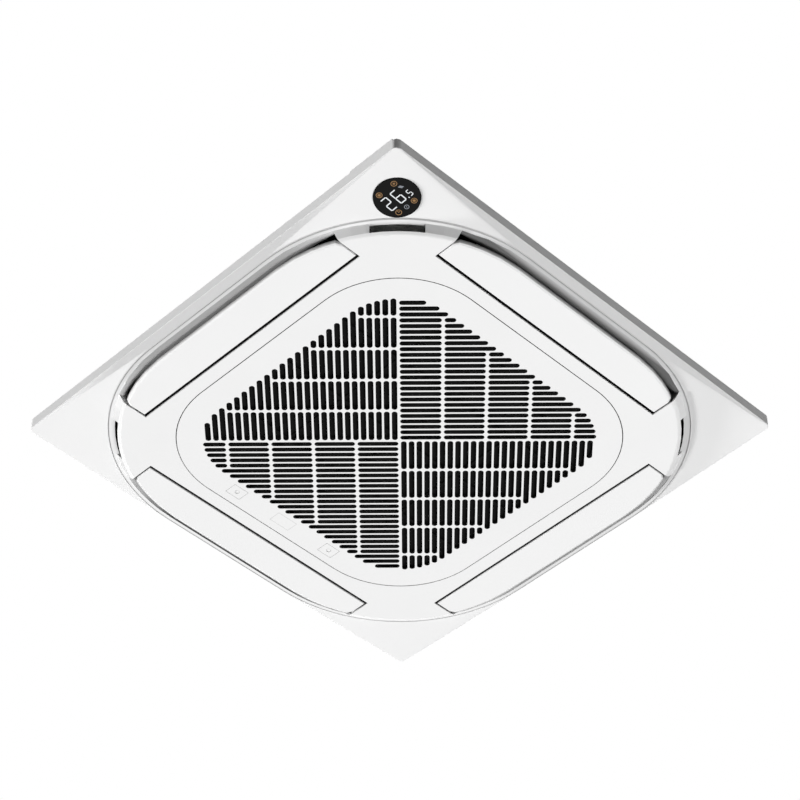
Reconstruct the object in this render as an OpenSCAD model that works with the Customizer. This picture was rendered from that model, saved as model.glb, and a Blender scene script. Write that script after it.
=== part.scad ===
// Ceiling cassette air conditioner with a square decoration panel.
// The origin is the centre of the four hanging slots, at the underside of their brackets.
// The casing stands above the ceiling and the panel hangs below it.
// The panel's display corner is at +X -Y, and the intake grille hinges on its +X side.

/* [Panel] */
// Side of the square decoration panel
panel_w = 950; // [944:1:960]
// Radius of the panel's outer corners
panel_r = 11; // [8:1:16]
// Height of the panel's upright rim
rim_h = 23; // [18:1:30]
// Drop from the rim to the ridge where the sloping surround ends
slope_h = 16; // [13:1:20]
// Drop from the ridge to the flat face
face_drop = 14; // [13:0.5:17]
// Thickness of the moulded panel walls
wall = 2.5; // [2:0.1:3]
// Thickness of the foam strip between rim and ceiling
seal_h = 4; // [2:0.5:8]
// How far the panel reaches past the casing on each side
panel_lap = 55; // [53:0.5:57]

/* [Ridge and lip] */
// Distance from the panel's edge to the ridge at mid side
ridge_inset = 9; // [8:0.5:12]
// Radius of the ridge's large round corners
ridge_r = 319; // [310:1:325]
// Width of the flat lip inside the ridge
lip_w = 9; // [8:0.5:10]
// Distance from the ridge to the edge of the flat face
face_inset = 23.4; // [22:0.2:25]

/* [Intake grille] */
// Distance from the panel's edge to the grille
grille_inset = 139; // [137:0.5:142]
// Radius of the grille's round corners
grille_r = 178; // [170:1:186]
// Parting gap round the grille
grille_gap = 1.8; // [1.6:0.1:2.2]
// Distance from one slot to the next
slot_pitch = 14; // [13:0.5:16]
// Width of a slot
slot_w = 10.3; // [8:0.1:11]
// Distance from one cross rib to the next
rib_pitch = 77.8; // [60:1:90]
// Width of a cross rib
rib_w = 4.6; // [3:0.2:7]
// Width of the grille's plain border round the slots
border_w = 51.5; // [48:0.5:66]
// Radius of the corners of the slot field
field_r = 115; // [90:1:130]

/* [Vanes] */
// Depth of a vane bay at its ends
bay_end_depth = 64.2; // [62:0.2:68]
// Gap at each end of a vane
vane_end_gap = 3; // [2.5:0.1:4]
// Gap between a vane's straight edge and the face
vane_gap = 5.5; // [5:0.1:7]
// Width of the face between the grille and the vanes
band_w = 27.2; // [26:0.2:29]
// Height of a vane's upturned edge
vane_rise = 8; // [7:0.5:9]

/* [Display] */
// Diameter of the round display lens
lens_d = 79.4; // [60:0.2:82]
// Width of the display's bezel ring
bezel_w = 0.8; // [0.6:0.1:1.5]

/* [Casing] */
// Height of the casing
body_h = 245; // [240:1:290]
// Length cut off each corner of the casing
body_chamfer = 140; // [136:1:144]
// Height of the casing's lower edge above the ceiling plane
body_gap = 16; // [14:1:24]
// Height of the hanging brackets above the casing's lower edge
bracket_rise = 108; // [90:1:140]
// Thickness of the galvanised steel sheet
sheet = 1.2; // [0.8:0.1:1.5]
// Thickness of the insulating liner
foam_t = 10; // [8:0.5:12]
// Distance from the casing's side to a hanging rod along X
rod_inset_x = 30; // [28:0.5:32]
// Distance from the casing's side to a hanging rod along Y
rod_inset_y = 80; // [78:0.5:82]
// Width of a hanging slot
rod_slot_w = 12; // [10:0.5:13]
// Length of a hanging slot
rod_slot_l = 30; // [24:1:34]

/* [Heat exchanger and drain] */
// Distance from the casing's side to the heat exchanger
coil_inset = 90; // [88:0.5:93]
// Thickness of the heat exchanger
coil_t = 38; // [26:1:40]
// Outer corner radius of the heat exchanger
coil_r = 60; // [50:1:70]
// Height of the drain pan
pan_h = 48; // [44:1:54]
// Height of the pan's floor under the heat exchanger
pan_floor = 28; // [24:1:32]
// Width of an air outlet through the pan
port_w = 58; // [50:1:58]
// Outside diameter of the gas pipe
gas_pipe_d = 15.88; // [12.7:0.01:19.05]
// Outside diameter of the liquid pipe
liquid_pipe_d = 9.52; // [6.35:0.01:12.7]
// Outside diameter of the drain spigot
spigot_d = 32; // [26:1:33]

/* [Fan] */
// Gap between the fan wheel and the heat exchanger
fan_gap = 57; // [47:1:72]
// Width of the fan's shroud from the air inlet to its edge
shroud_w = 77; // [75:1:90]
// Number of fan blades
blade_count = 7; // [5:1:9]
// Diameter of the motor's can
motor_d = 144; // [120:1:150]
// Diameter of the motor's shaft
shaft_d = 12; // [10:0.5:14]

/* [Hidden] */
PANEL_NODES = ["panel_surround", "outlet_frame", "outlet_ducts", "duct_gaskets", "ceiling_seal",
    "panel_screws", "corner_nozzles"];
VANE_NODES = ["vane_right", "vane_rear", "vane_left", "vane_front", "vane_bushes", "vane_motors"];
GRILLE_NODES = ["intake_grille", "filter_frame", "filter_mesh", "hinge_hooks", "latch_housings",
    "latch_button_a", "latch_button_b", "screw_cover"];
DISPLAY_NODES = ["display_bezel", "display_lens", "display_board"];
CASING_NODES = ["casing_wall", "top_plate", "casing_liner", "hanger_brackets", "bracket_screws",
    "pipe_plate"];
AIR_NODES = ["bell_mouth", "fan_wheel", "fan_nut", "motor_shaft", "fan_motor", "motor_mounts"];
COIL_NODES = ["coil_fins", "coil_end_plates", "return_bends", "gas_header", "liquid_header",
    "gas_pipe", "liquid_pipe", "flare_unions"];
DRAIN_NODES = ["drain_pan", "drain_pump", "pump_impeller", "float_stem", "float", "drain_hose",
    "drain_spigot"];
CONTROL_NODES = ["control_box", "control_box_lid", "control_board", "terminal_block"];

// Turns and shares that many pieces use
quarter = 90;
eighth = 45;
root2 = sqrt(2);
half_share = 1 / 2;

// Overrun of every cut, and the gap between pieces that nearly touch
cut = 1;
near_gap = 0.3;
running_gap = 0.05;

// Heights of the panel, from the brackets down
body_z = -bracket_rise;
ceiling_z = body_z - body_gap;
rim_top = ceiling_z - seal_h;
rim_z = rim_top - rim_h;
ridge_z = rim_z - slope_h;
face_z = ridge_z - face_drop;
face_top = face_z + wall;
lip_top = ridge_z + wall;

// Outlines of the panel
panel_half = panel_w / 2;
body_half = panel_half - panel_lap;
body_w = 2 * body_half;
ridge_half = panel_half - ridge_inset;
ridge_straight = ridge_half - ridge_r;
grille_half = panel_half - grille_inset;
grille_w = 2 * grille_half;
grille_straight = grille_half - grille_r;
field_w = grille_w - 2 * border_w;
opening_half = grille_half + grille_gap;
opening_r = grille_r + grille_gap;
arc_steps = 18;

// Small sizes of the panel mouldings
edge_round = 1.2;
crease_w = 0.9;
crease_h = 4;
ridge_foot = 1.6;
shelf_h = 8;
rim_flange_w = 13;
opening_flange_h = 12;
seal_w = 5;
seal_back = 7;
upstand_l = 100;

// Vane bays, measured from the middle of the panel towards +X
bay_in = opening_half + band_w;
bay_end_x = bay_in + bay_end_depth - ridge_straight;
bay_l = 2 * (ridge_straight + sqrt(pow(ridge_r - lip_w, 2) - bay_end_x * bay_end_x));
vane_l = bay_l - 2 * vane_end_gap;
vane_in = bay_in + vane_gap;
vane_wall = 2.2;
vane_floor = 3.2;
vane_edge_round = 5;
vane_corner_r = 8;
vane_steps = 16;

// The vane's pin: its place keeps the straight edge clear of the bay as the vane turns
pin_d = 6;
pin_back = 14;
pin_rise = 11;
pin_x = vane_in + pin_back;
pin_z = face_z + pin_rise;
lug_w = 4;
lug_d = 12;
lug_inset = 6;
bush_wall = 2;
duct_wall = 4;

// Vane motors with an offset output shaft
vane_motor_d = 28;
vane_motor_l = 19;
vane_motor_offset = 8;
vane_motor_ear = 17.5;
vane_motor_ear_d = 7;
vane_motor_ear_t = 1;

// Air ducts from the vane bays to the casing
pan_z = body_z + sheet;
gasket_h = 6;
gasket_w = 5;
duct_top = pan_z - gasket_h;
coil_half = body_half - coil_inset;
coil_w = 2 * coil_half;
coil_gap = 115;
coil_cut = coil_half - coil_gap;
pan_wall = 17;
port_end_gap = 15;
port_in = coil_half + pan_wall;
port_out = port_in + port_w;
port_l = 2 * (coil_cut - port_end_gap);
nose_flat = 1.5;
duct_steps = 12;
duct_hold_share = 0.14;
duct_level_shares = [0, 0.02, 0.06, 0.14, 0.27, 0.45, 0.7, 1];
block_level_shares = [0.14, 0.27, 0.45, 0.7, 1];

// Corner nozzles in the upright wall of the face
nozzle_w = 94;
nozzle_depth = 26;
nozzle_wall = 1.6;
nozzle_sill = 2.2;

// Screws that hold the panel to the casing
post_inset = 20.2;
opening_diag = opening_half * root2 - opening_r * (root2 - 1);
post_diag = opening_diag - post_inset;
post_d = 16;
tab_w = 40;
tab_rise = 27;
tab_z = face_z + tab_rise;
screw_d = 6;
screw_head_d = 12;
screw_head_h = 4;
screw_grip = 14;

// Hinge of the intake grille: curved hooks that turn about a line in the plane of the face
hinge_back = 20;
hinge_x = grille_half - hinge_back;
hinge_z = face_z;
hinge_end_gap = 8;
hinge_y = grille_straight - hinge_end_gap;
grille_flange_h = 9;
hook_r = 11;
hook_t = 3;
hook_w = 9;
hook_from = 44;
hook_turn = 122;
hook_head_turn = 3;
hook_head_rise = 1.5;
hook_room = 0.6;
hook_foot_t = 1.2;
hook_foot_reach = 3;
guide_from = 140;
guide_turn = 12;
guide_wall = 2;
guide_back = 3;
guide_w = hook_w + 2 * near_gap + 2 * guide_wall;
hinge_leg_t = 5;
hinge_sweep = norm([hinge_back, grille_flange_h]) + cut;
hinge_arm_z = hinge_z + hinge_sweep;
hinge_arm_t = 4;

// Grille plate, filter and latches
slot_start = 1.8;
slot_offset = 8;
slot_min_l = 17;
filter_inset = 46;
filter_w = grille_w - 2 * filter_inset;
filter_bar = 6;
filter_h = 5;
filter_bar_count = 3;
mesh_t = 0.8;
latch_inset = 29;
latch_share = 0.734;
latch_x = latch_inset - grille_half;
latch_y = grille_straight * latch_share;
latch_size = [25.7, 33];
cover_size = [23.5, 44];
latch_r = 2;
latch_gap = 0.3;
latch_dimple_d = 9;
latch_dimple_h = 0.6;
latch_travel = 3;
latch_wall = 1.6;
latch_stem_d = 8;
latch_stem_h = 8;
latch_room = 1;
latch_tongue_w = 16;

// Display on the sloping corner of the surround
display_gap = 1.4;
corner_diag = (panel_half - panel_r) * root2 + panel_r;
ridge_diag = ridge_straight * root2 + ridge_r;
display_diag = ridge_diag + display_gap + lens_d / 2;
display_tilt = atan(slope_h / (corner_diag - ridge_diag));
display_z = ridge_z + (display_diag - ridge_diag) * tan(display_tilt);
bezel_h = 7;
lens_t = 2.4;
bezel_gap = 0.3;
board_t = 1.6;
digits_size = [18, 40, 3];
plug_size = [8, 22, 6];
bezel_lip = 2.5;

// Casing levels
body_top = body_z + body_h;
casing_flange_w = 8;
liner_top = body_top - near_gap;
liner_ceiling = liner_top - foam_t;
pan_top = pan_z + pan_h;
coil_base = pan_z + pan_floor;
top_bead_h = 3;
top_bead_w = 14;
top_bead_r = 250;
top_lip_h = 14;

// Hanging brackets
bracket_z = 0;
bracket_t = 3;
bracket_w = 64;
bracket_reach = 52;
bracket_leg_h = 42;
bracket_screw_d = 8;
bracket_screw_h = 4;
bracket_screw_gap = 36;

// Fan, motor and bell mouth
fan_r = coil_half - coil_t - fan_gap;
fan_d = 2 * fan_r;
throat_r = fan_r - shroud_w;
bell_t = 2.5;
bell_r = 52;
bell_flange_w = 36;
bell_flange_r = throat_r + bell_r + bell_flange_w;
bell_h = 66;
bell_top = pan_z + bell_h;
fan_skin = 3;
fan_inlet_gap = 7;
shroud_near_share = 0.25;
shroud_low_share = 0.62;
fan_inlet_r = throat_r + bell_t + fan_inlet_gap;
shroud_overlap = 8;
shroud_foot = bell_top - shroud_overlap;
shroud_rise = 34;
fan_headroom = 42;
fan_top = liner_ceiling - fan_headroom;
cup_gap = 16;
cup_flare = 30;
cup_r = motor_d / 2 + cup_gap;
hub_r = cup_r + cup_flare;
hub_drop = 44;
boss_r = 18;
boss_h = 26;
boss_z = fan_top - hub_drop;
blade_step = 10;
blade_in_r = hub_r + blade_step;
blade_bow_r = 150;
blade_centre_r = 118;
blade_t = 3.4;
motor_gap = 8;
motor_headroom = 12;
motor_top = liner_ceiling - motor_headroom;
motor_base = boss_z + fan_skin + motor_gap;
motor_ear_gap = 16;
motor_ear_r = motor_d / 2 + motor_ear_gap;
motor_ear_d = 26;
motor_ear_t = 6;
mount_d = 22;
mount_bolt_d = 8;
motor_mount_count = 4;
motor_rib_count = 12;
nut_d = 22;
nut_h = 9;

// Heat exchanger ends in the drain corner at -X +Y
coil_top = liner_ceiling;
end_plate_t = 1.2;
bend_r = 11;
bend_tube_d = 8;
bend_count = 4;
gas_header_gap = 25;
gas_header_inset = 14;
header_x = -coil_cut - gas_header_gap;
gas_header_y = coil_half - gas_header_inset;
gas_header_d = 19;
gas_rise = 45;
pipe_step = 40;
gas_z = pan_top + gas_rise;
liquid_step = 20;
liquid_x = header_x - liquid_step;
liquid_header_y = gas_header_y - liquid_step;
liquid_header_d = 12;
liquid_z = gas_z + pipe_step;
header_foot_rise = 10;
header_drop = 20;
header_foot = pan_top + header_foot_rise;
header_head = coil_top - header_drop;
stub_d = 7;
stub_count = 4;
pipe_wall = 0.9;
union_gap = 4;
union_start = body_half + union_gap;
union_hex_w = 14;
union_hex_share = 2;
union_stub_l = 18;
gas_thread_d = 22.2;
liquid_thread_d = 15.9;
pipe_end = union_start + union_hex_w;
plate_t = 1.5;
plate_size = [58, 92];

// Drain parts in the same corner
sump_size = 150;
sump_floor = 16;
sump_z = pan_z + sump_floor;
pump_inset = 38;
pump_gap = 43;
pump_x = pump_inset - coil_half;
pump_y = coil_cut + pump_gap;
pump_d = 46;
pump_h = 58;
pump_motor_d = 34;
pump_motor_h = 30;
pump_cavity_d = 34;
pump_wheel_d = 28;
pump_wheel_h = 6;
pump_shaft_d = 4;
pump_wheel_rise = 10;
pump_wheel_z = sump_z + pump_wheel_rise;
nozzle_rise = 44;
nozzle_z = sump_z + nozzle_rise;
hose_d = 18;
hose_bore = 12;
hose_bend_r = 20;
hose_outset = 20;
hose_x = -coil_half - hose_outset;
spigot_drop = 55;
spigot_z = body_top - spigot_drop;
spigot_wall = 3;
spigot_reach = 46;
spigot_end = body_half + spigot_reach;
spigot_flange_d = 44;
spigot_flange_t = 3;
float_gap = 75;
float_x = -coil_half;
float_y = coil_cut + float_gap;
float_d = 24;
float_bore = 8;
float_h = 16;
float_lift = 8;
float_travel = 12;
stem_d = 6;
stem_cap_d = 12;
stem_cap_h = 4;

// Control box under the drain pan
box_outset = 4;
box_end_gap = 45;
box_x = -coil_half - box_outset;
box_w = 78;
box_l = 2 * (coil_cut - box_end_gap);
box_h = 38;
box_lid_h = 8;
cable_hole_d = 18;
box_board_t = 1.6;
box_board_rise = 8;
terminal_size = [20, 70, 14];
terminal_count = 6;
terminal_screw_d = 5;

// Points of a square with round corners at one height, anticlockwise
function square_ring(half, r, z) = [
    for (corner = [0:3]) for (i = [0:arc_steps])
        let (
            mid = quarter * corner + eighth,
            a = quarter * (corner + i / arc_steps),
            reach = (half - r) * root2
        )
        [reach * cos(mid) + r * cos(a), reach * sin(mid) + r * sin(a), z]
];

// The ridge's outline, drawn in by a distance
function ridge_ring(inset, z) = square_ring(ridge_half - inset, ridge_r - inset, z);

// How far out the ridge's outline lies at a place along one side
function ridge_x(inset, y) =
    let (past = max(0, abs(y) - ridge_straight), r = ridge_r - inset)
    ridge_straight + sqrt(r * r - past * past);

// Faces that join each ring of a list to the next one
function band_faces(n, rings, wrap) = [
    for (j = [0:rings - (wrap ? 1 : 2)]) for (i = [0:n - 1])
        let (
            next = (j + 1) % rings,
            a = j * n + i,
            b = j * n + (i + 1) % n,
            c = next * n + (i + 1) % n,
            d = next * n + i
        )
        each [[a, c, b], [a, d, c]]
];

// Solid whose section follows a closed loop of rings, given upwards on the outside
module loop_loft(rings) {
    polyhedron(
        points = [for (ring = rings) each ring],
        faces = band_faces(len(rings[0]), len(rings), true)
    );
}

// Solid stacked from rings, lowest first
module stack_loft(rings) {
    n = len(rings[0]);
    last = (len(rings) - 1) * n;
    polyhedron(
        points = [for (ring = rings) each ring],
        faces = concat(
            [[for (i = [0:n - 1]) i]],
            band_faces(n, len(rings), false),
            [[for (i = [n - 1:-1:0]) last + i]]
        )
    );
}

// Square with true round corners, drawn flat
module soft_square(w, r) {
    square([w - 2 * r, w], center = true);
    square([w, w - 2 * r], center = true);
    for (x = [-1, 1]) for (y = [-1, 1])
        translate([x * (w / 2 - r), y * (w / 2 - r)]) circle(r = r, $fn = 96);
}

// Small rectangle with round corners, drawn flat
module soft_rectangle(size, r) {
    square([size[0] - 2 * r, size[1]], center = true);
    square([size[0], size[1] - 2 * r], center = true);
    for (x = [-1, 1]) for (y = [-1, 1])
        translate([x * (size[0] / 2 - r), y * (size[1] / 2 - r)]) circle(r = r, $fn = 24);
}

// Copies round the four sides of the panel
module each_side() {
    for (side = [0:3]) rotate(quarter * side) children();
}

// Copies at the four corners, with +X of the child pointing to the corner
module each_corner() {
    for (corner = [0:3]) rotate(quarter * corner + eighth) children();
}

// Sloping surround of the panel, from the rim to the ridge
module panel_surround() {
    color("white") {
        difference() {
            loop_loft([
                square_ring(panel_half, panel_r, rim_top),
                square_ring(panel_half - rim_flange_w, panel_r - wall, rim_top),
                square_ring(panel_half - rim_flange_w, panel_r - wall, rim_top - wall),
                square_ring(panel_half - wall, panel_r - wall, rim_top - wall),
                square_ring(panel_half - wall, panel_r - wall, rim_z + wall + edge_round),
                ridge_ring(ridge_foot + crease_w, ridge_z + shelf_h),
                ridge_ring(ridge_foot + crease_w, ridge_z + crease_h),
                ridge_ring(ridge_foot, ridge_z + crease_h),
                ridge_ring(ridge_foot, ridge_z),
                ridge_ring(ridge_foot * half_share, ridge_z),
                ridge_ring(0, ridge_z + edge_round),
                square_ring(panel_half - edge_round, panel_r - edge_round, rim_z),
                square_ring(panel_half, panel_r, rim_z + edge_round)
            ]);
            display_place() translate([0, 0, -2 * bezel_h])
                cylinder(r = bezel_r() + bezel_gap, h = 3 * bezel_h, $fn = 96);
        }
        rim_upstand();
    }
}

// Upright stop on the rim beside the display corner, as high as the foam strip
module rim_upstand() {
    translate([panel_half - panel_r - upstand_l, -panel_half, rim_top])
        cube([upstand_l, wall, seal_h]);
}

// Foam strip on the rim's flange, pressed against the ceiling
module ceiling_seal() {
    outer = panel_w - 2 * seal_back;
    color("dimgray") translate([0, 0, rim_top]) linear_extrude(seal_h) difference() {
        soft_square(outer, panel_r - wall);
        soft_square(outer - 2 * seal_w, panel_r - wall);
    }
}

// Outline of a vane bay at one height, on the +X side
module bay_space(grow) {
    y_half = bay_l / 2 + grow;
    polygon(concat(
        [[bay_in - grow, -y_half]],
        [for (i = [0:duct_steps]) let (y = -y_half + 2 * y_half * i / duct_steps)
            [ridge_x(lip_w, y), y]],
        [[bay_in - grow, y_half]]
    ));
}

// Lip, upright wall and flat face in one moulding, with four vane bays
module outlet_frame() {
    lip_foot = ridge_foot + crease_w;
    slant = face_inset - lip_w;
    slant_share = 0.3;
    color("white") {
        difference() {
            loop_loft([
                ridge_ring(lip_foot, ridge_z + shelf_h),
                ridge_ring(lip_foot + wall, ridge_z + shelf_h),
                ridge_ring(lip_foot + wall, lip_top),
                ridge_ring(lip_w + wall, lip_top),
                ridge_ring(face_inset + wall * half_share, face_top),
                square_ring(opening_half + wall, opening_r + wall, face_top),
                square_ring(opening_half + wall, opening_r + wall, face_z + opening_flange_h),
                square_ring(opening_half, opening_r, face_z + opening_flange_h),
                square_ring(opening_half, opening_r, face_z),
                ridge_ring(face_inset + wall, face_z),
                ridge_ring(face_inset, face_z + edge_round * half_share),
                ridge_ring(face_inset - slant * slant_share, face_z + wall),
                ridge_ring(lip_w + edge_round, ridge_z - edge_round),
                ridge_ring(lip_w, ridge_z),
                ridge_ring(lip_foot, ridge_z)
            ]);
            each_side() translate([0, 0, face_z - cut])
                linear_extrude(face_drop + 3 * shelf_h) bay_space(0);
            each_corner() nozzle_window();
        }
        each_corner() panel_tab();
        for (y = [-hinge_y, hinge_y]) translate([0, y, 0]) hinge_arm();
    }
}

// Opening for a corner nozzle, with +X pointing to the corner
module nozzle_window() {
    reach = ridge_diag - lip_w;
    translate([reach - nozzle_depth, -nozzle_w / 2, face_top])
        cube([nozzle_depth + cut, nozzle_w, face_drop - wall]);
}

// Tab and post behind the grille's corner, for one panel screw
module panel_tab() {
    difference() {
        union() {
            translate([post_diag - post_d, -tab_w / 2, tab_z])
                cube([opening_diag + wall - post_diag + post_d, tab_w, wall]);
            translate([opening_diag + near_gap, -tab_w / 2, face_z + opening_flange_h - wall])
                cube([wall - near_gap, tab_w, tab_z - face_z - opening_flange_h + 2 * wall]);
            translate([post_diag, 0, tab_z])
                cylinder(d = post_d, h = pan_z - tab_z, $fn = 48);
        }
        translate([post_diag, 0, tab_z - cut])
            cylinder(d = screw_d + 2 * running_gap, h = pan_z - tab_z + 2 * cut, $fn = 32);
    }
}

// Part of a ring about the hinge's axis, from one angle onwards
module hinge_arc(r, t, w, from, turn) {
    rotate([quarter, 0, 0]) rotate(from) rotate_extrude(angle = turn, $fn = 128)
        translate([r, -w / 2]) square([t, w]);
}

// Arm that reaches over the grille's edge and down to the curved guide of one hook
module hinge_arm() {
    outside = hook_r + hook_t + hook_head_rise + 2 * near_gap;
    leg_x = -hook_r - hook_t - hook_room;
    difference() {
        translate([hinge_x + leg_x, -guide_w / 2, hinge_z + hook_r - guide_back]) {
            cube([hinge_leg_t, guide_w, hinge_sweep + hinge_arm_t - hook_r + guide_back]);
            translate([0, 0, hinge_sweep - hook_r + guide_back])
                cube([opening_half + wall - hinge_x - leg_x, guide_w, hinge_arm_t]);
        }
        translate([hinge_x, guide_w / 2 + cut, hinge_z]) rotate([quarter, 0, 0])
            cylinder(r = outside, h = guide_w + 2 * cut, $fn = 128);
    }
    translate([hinge_x, 0, hinge_z]) difference() {
        hinge_arc(hook_r - running_gap - guide_wall, hook_t + 2 * running_gap + guide_wall + guide_back,
            guide_w, guide_from, guide_turn);
        hinge_arc(hook_r - running_gap, hook_t + 2 * running_gap, hook_w + 2 * near_gap,
            guide_from - guide_turn, 3 * guide_turn);
    }
    translate([opening_half, -guide_w / 2, face_z + opening_flange_h - wall])
        cube([wall, guide_w, hinge_arm_z + hinge_arm_t - face_z - opening_flange_h + wall]);
}

// Curved hooks on the back of the grille that hang in the guides
module hinge_hooks() {
    color("silver") for (y = [-hinge_y, hinge_y]) translate([hinge_x, y, hinge_z]) {
        hinge_arc(hook_r, hook_t, hook_w, hook_from, hook_turn);
        hinge_arc(hook_r - hook_head_rise, hook_t + 2 * hook_head_rise, hook_w,
            hook_from - hook_head_turn, 2 * hook_head_turn);
        translate([-hook_r - hook_t - hook_foot_reach, -hook_w / 2, wall])
            cube([hook_t + 2 * hook_foot_reach, hook_w, hook_foot_t]);
    }
}

// How far out a duct reaches at one level: share 0 is the lip and share 1 the casing
function duct_x(share, y) =
    let (lip_x = ridge_x(lip_w, y), turn = sqrt(1 - (1 - share) * (1 - share)))
    lip_x - (lip_x - port_out) * turn;

// Outline of a duct at one level, whose ends stay straight as high as the vane swings
function duct_ring(share, grow, grow_out, z) =
    let (
        ease = share * share * (3 - 2 * share),
        late = max(0, (share - duct_hold_share) / (1 - duct_hold_share)),
        y_half = bay_l / 2 - (bay_l - port_l) / 2 * late * late * (3 - 2 * late),
        inner = bay_in - (bay_in - port_in) * ease - grow,
        end_x = duct_x(share, bay_l / 2 + grow) + grow_out
    )
    concat(
        [[inner, -y_half - grow, z]],
        grow > 0 ? [[end_x, -y_half - grow, z]] : [],
        [for (i = [0:duct_steps]) let (along = -1 + 2 * i / duct_steps)
            [duct_x(share, along * bay_l / 2) + grow_out, along * y_half, z]],
        grow > 0 ? [[end_x, y_half + grow, z]] : [],
        [[inner, y_half + grow, z]]
    );

function duct_z(share) = ridge_z + share * (duct_top - ridge_z);

// The space that the air takes through one duct
module duct_air() {
    stack_loft(concat(
        [duct_ring(0, 0, -nose_flat, face_z - cut)],
        [for (share = duct_level_shares) duct_ring(share, 0, -nose_flat * (1 - share), duct_z(share))],
        [duct_ring(1, 0, 0, duct_top + cut)]
    ));
}

// Insulated duct from a vane bay up to the casing, with the vane's bearings in its ends
module outlet_duct() {
    end_x = ridge_x(face_inset + 2 * wall, bay_l / 2 + duct_wall);
    end_top_x = ridge_x(lip_w + 2 * wall, bay_l / 2 + duct_wall);
    difference() {
        union() {
            stack_loft(concat(
                [
                    duct_ring(0, duct_wall, 0, ridge_z),
                    duct_ring(0, duct_wall, 0, lip_top),
                    duct_ring(0, duct_wall, duct_wall * half_share, lip_top + near_gap)
                ],
                [for (share = block_level_shares)
                    duct_ring(share, duct_wall, duct_wall, duct_z(share))]
            ));
            translate([bay_in - duct_wall, -bay_l / 2 - duct_wall, face_top])
                cube([duct_wall, bay_l + 2 * duct_wall, ridge_z - face_top + cut]);
            for (y = [-bay_l / 2, bay_l / 2 + duct_wall])
                translate([0, y, 0]) rotate([quarter, 0, 0]) linear_extrude(duct_wall)
                    polygon([
                        [bay_in - duct_wall, face_top],
                        [end_x, face_top],
                        [end_top_x, ridge_z],
                        [end_top_x, ridge_z + cut],
                        [bay_in - duct_wall, ridge_z + cut]
                    ]);
        }
        duct_air();
        for (y = [-bay_l / 2 - duct_wall - cut, bay_l / 2])
            translate([end_top_x, y, ridge_z - cut])
                cube([face_inset, duct_wall + cut, lip_top + near_gap - ridge_z + cut]);
        for (y = [-bay_l / 2 + cut, bay_l / 2 + duct_wall + cut])
            translate([pin_x, y, pin_z]) rotate([quarter, 0, 0])
                cylinder(d = pin_d + 2 * bush_wall, h = duct_wall + 2 * cut, $fn = 48);
    }
}

module outlet_ducts() {
    color("#3a3a3c") each_side() outlet_duct();
}

// Foam rings that seal the ducts to the drain pan
module duct_gaskets() {
    color("#2b2b2d") each_side() translate([0, 0, duct_top]) linear_extrude(gasket_h)
        difference() {
            translate([port_in - gasket_w, -port_l / 2 - gasket_w])
                square([port_w + 2 * gasket_w, port_l + 2 * gasket_w]);
            translate([port_in, -port_l / 2]) square([port_w, port_l]);
        }
}

// Grey nozzle trays behind the windows at the corners
module corner_nozzles() {
    reach = ridge_diag - face_inset;
    inside = nozzle_w - 2 * near_gap;
    color("silver") each_corner() translate([reach - nozzle_depth, 0, face_top]) {
        translate([0, -inside / 2, 0]) cube([nozzle_depth, inside, nozzle_sill]);
        for (y = [-inside / 2, inside / 2 - nozzle_wall]) translate([0, y, nozzle_sill])
            cube([nozzle_depth, nozzle_wall, face_drop - wall - nozzle_sill - near_gap]);
    }
}

module panel_screws() {
    color("gray") each_corner() translate([post_diag, 0, 0]) {
        translate([0, 0, tab_z - screw_head_h])
            cylinder(d = screw_head_d, h = screw_head_h, $fn = 6);
        translate([0, 0, tab_z]) cylinder(d = screw_d, h = pan_z - tab_z + screw_grip, $fn = 32);
    }
}

// Outline of a vane, drawn in at its straight edges and at its bowed edge
function vane_ring(edge, bow, z) =
    let (y_half = vane_l / 2 - edge)
    concat(
        [[vane_in + edge, -y_half, z]],
        [for (i = [0:vane_steps])
            let (
                y = -y_half * cos(2 * quarter * i / vane_steps),
                past = max(0, abs(y) - y_half + vane_corner_r),
                round = vane_corner_r - sqrt(max(0, vane_corner_r * vane_corner_r - past * past))
            )
            [ridge_x(face_inset + bow, y) - round, y, z]],
        [[vane_in + edge, y_half, z]]
    );

// Air vane on the +X side: a shallow tray with a pin at each end
module vane() {
    rim = face_z + vane_rise;
    stack_loft([
        vane_ring(edge_round, vane_edge_round, face_z),
        vane_ring(edge_round * half_share * half_share, vane_edge_round * half_share * half_share,
            face_z + edge_round),
        vane_ring(0, 0, rim),
        vane_ring(vane_wall, vane_wall, rim),
        vane_ring(vane_wall, vane_edge_round + vane_wall, face_z + vane_floor)
    ]);
    for (side = [-1, 1]) {
        lug_y = side * (vane_l / 2 - lug_inset);
        translate([pin_x - lug_d / 2, lug_y - lug_w / 2, face_z + vane_floor - edge_round])
            cube([lug_d, lug_w, pin_rise - vane_floor + edge_round]);
        translate([pin_x, lug_y + lug_w / 2, pin_z]) rotate([quarter, 0, 0])
            cylinder(d = lug_d, h = lug_w, $fn = 48);
        translate([pin_x, side * (bay_l / 2 + duct_wall), pin_z]) rotate([side * quarter, 0, 0])
            cylinder(d = pin_d, h = duct_wall + vane_end_gap + lug_inset, $fn = 48);
    }
}

module vane_right() {
    color("white") vane();
}

module vane_rear() {
    color("white") rotate(quarter) vane();
}

module vane_left() {
    color("white") rotate(2 * quarter) vane();
}

module vane_front() {
    color("white") rotate(-quarter) vane();
}

// Bearing bushes in the ends of the ducts
module vane_bushes() {
    color("gainsboro") each_side() for (y = [-bay_l / 2, bay_l / 2 + duct_wall])
        translate([pin_x, y, pin_z]) rotate([quarter, 0, 0]) difference() {
            cylinder(d = pin_d + 2 * bush_wall, h = duct_wall, $fn = 48);
            translate([0, 0, -cut])
                cylinder(d = pin_d + 2 * running_gap, h = duct_wall + 2 * cut, $fn = 48);
        }
}

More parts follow.
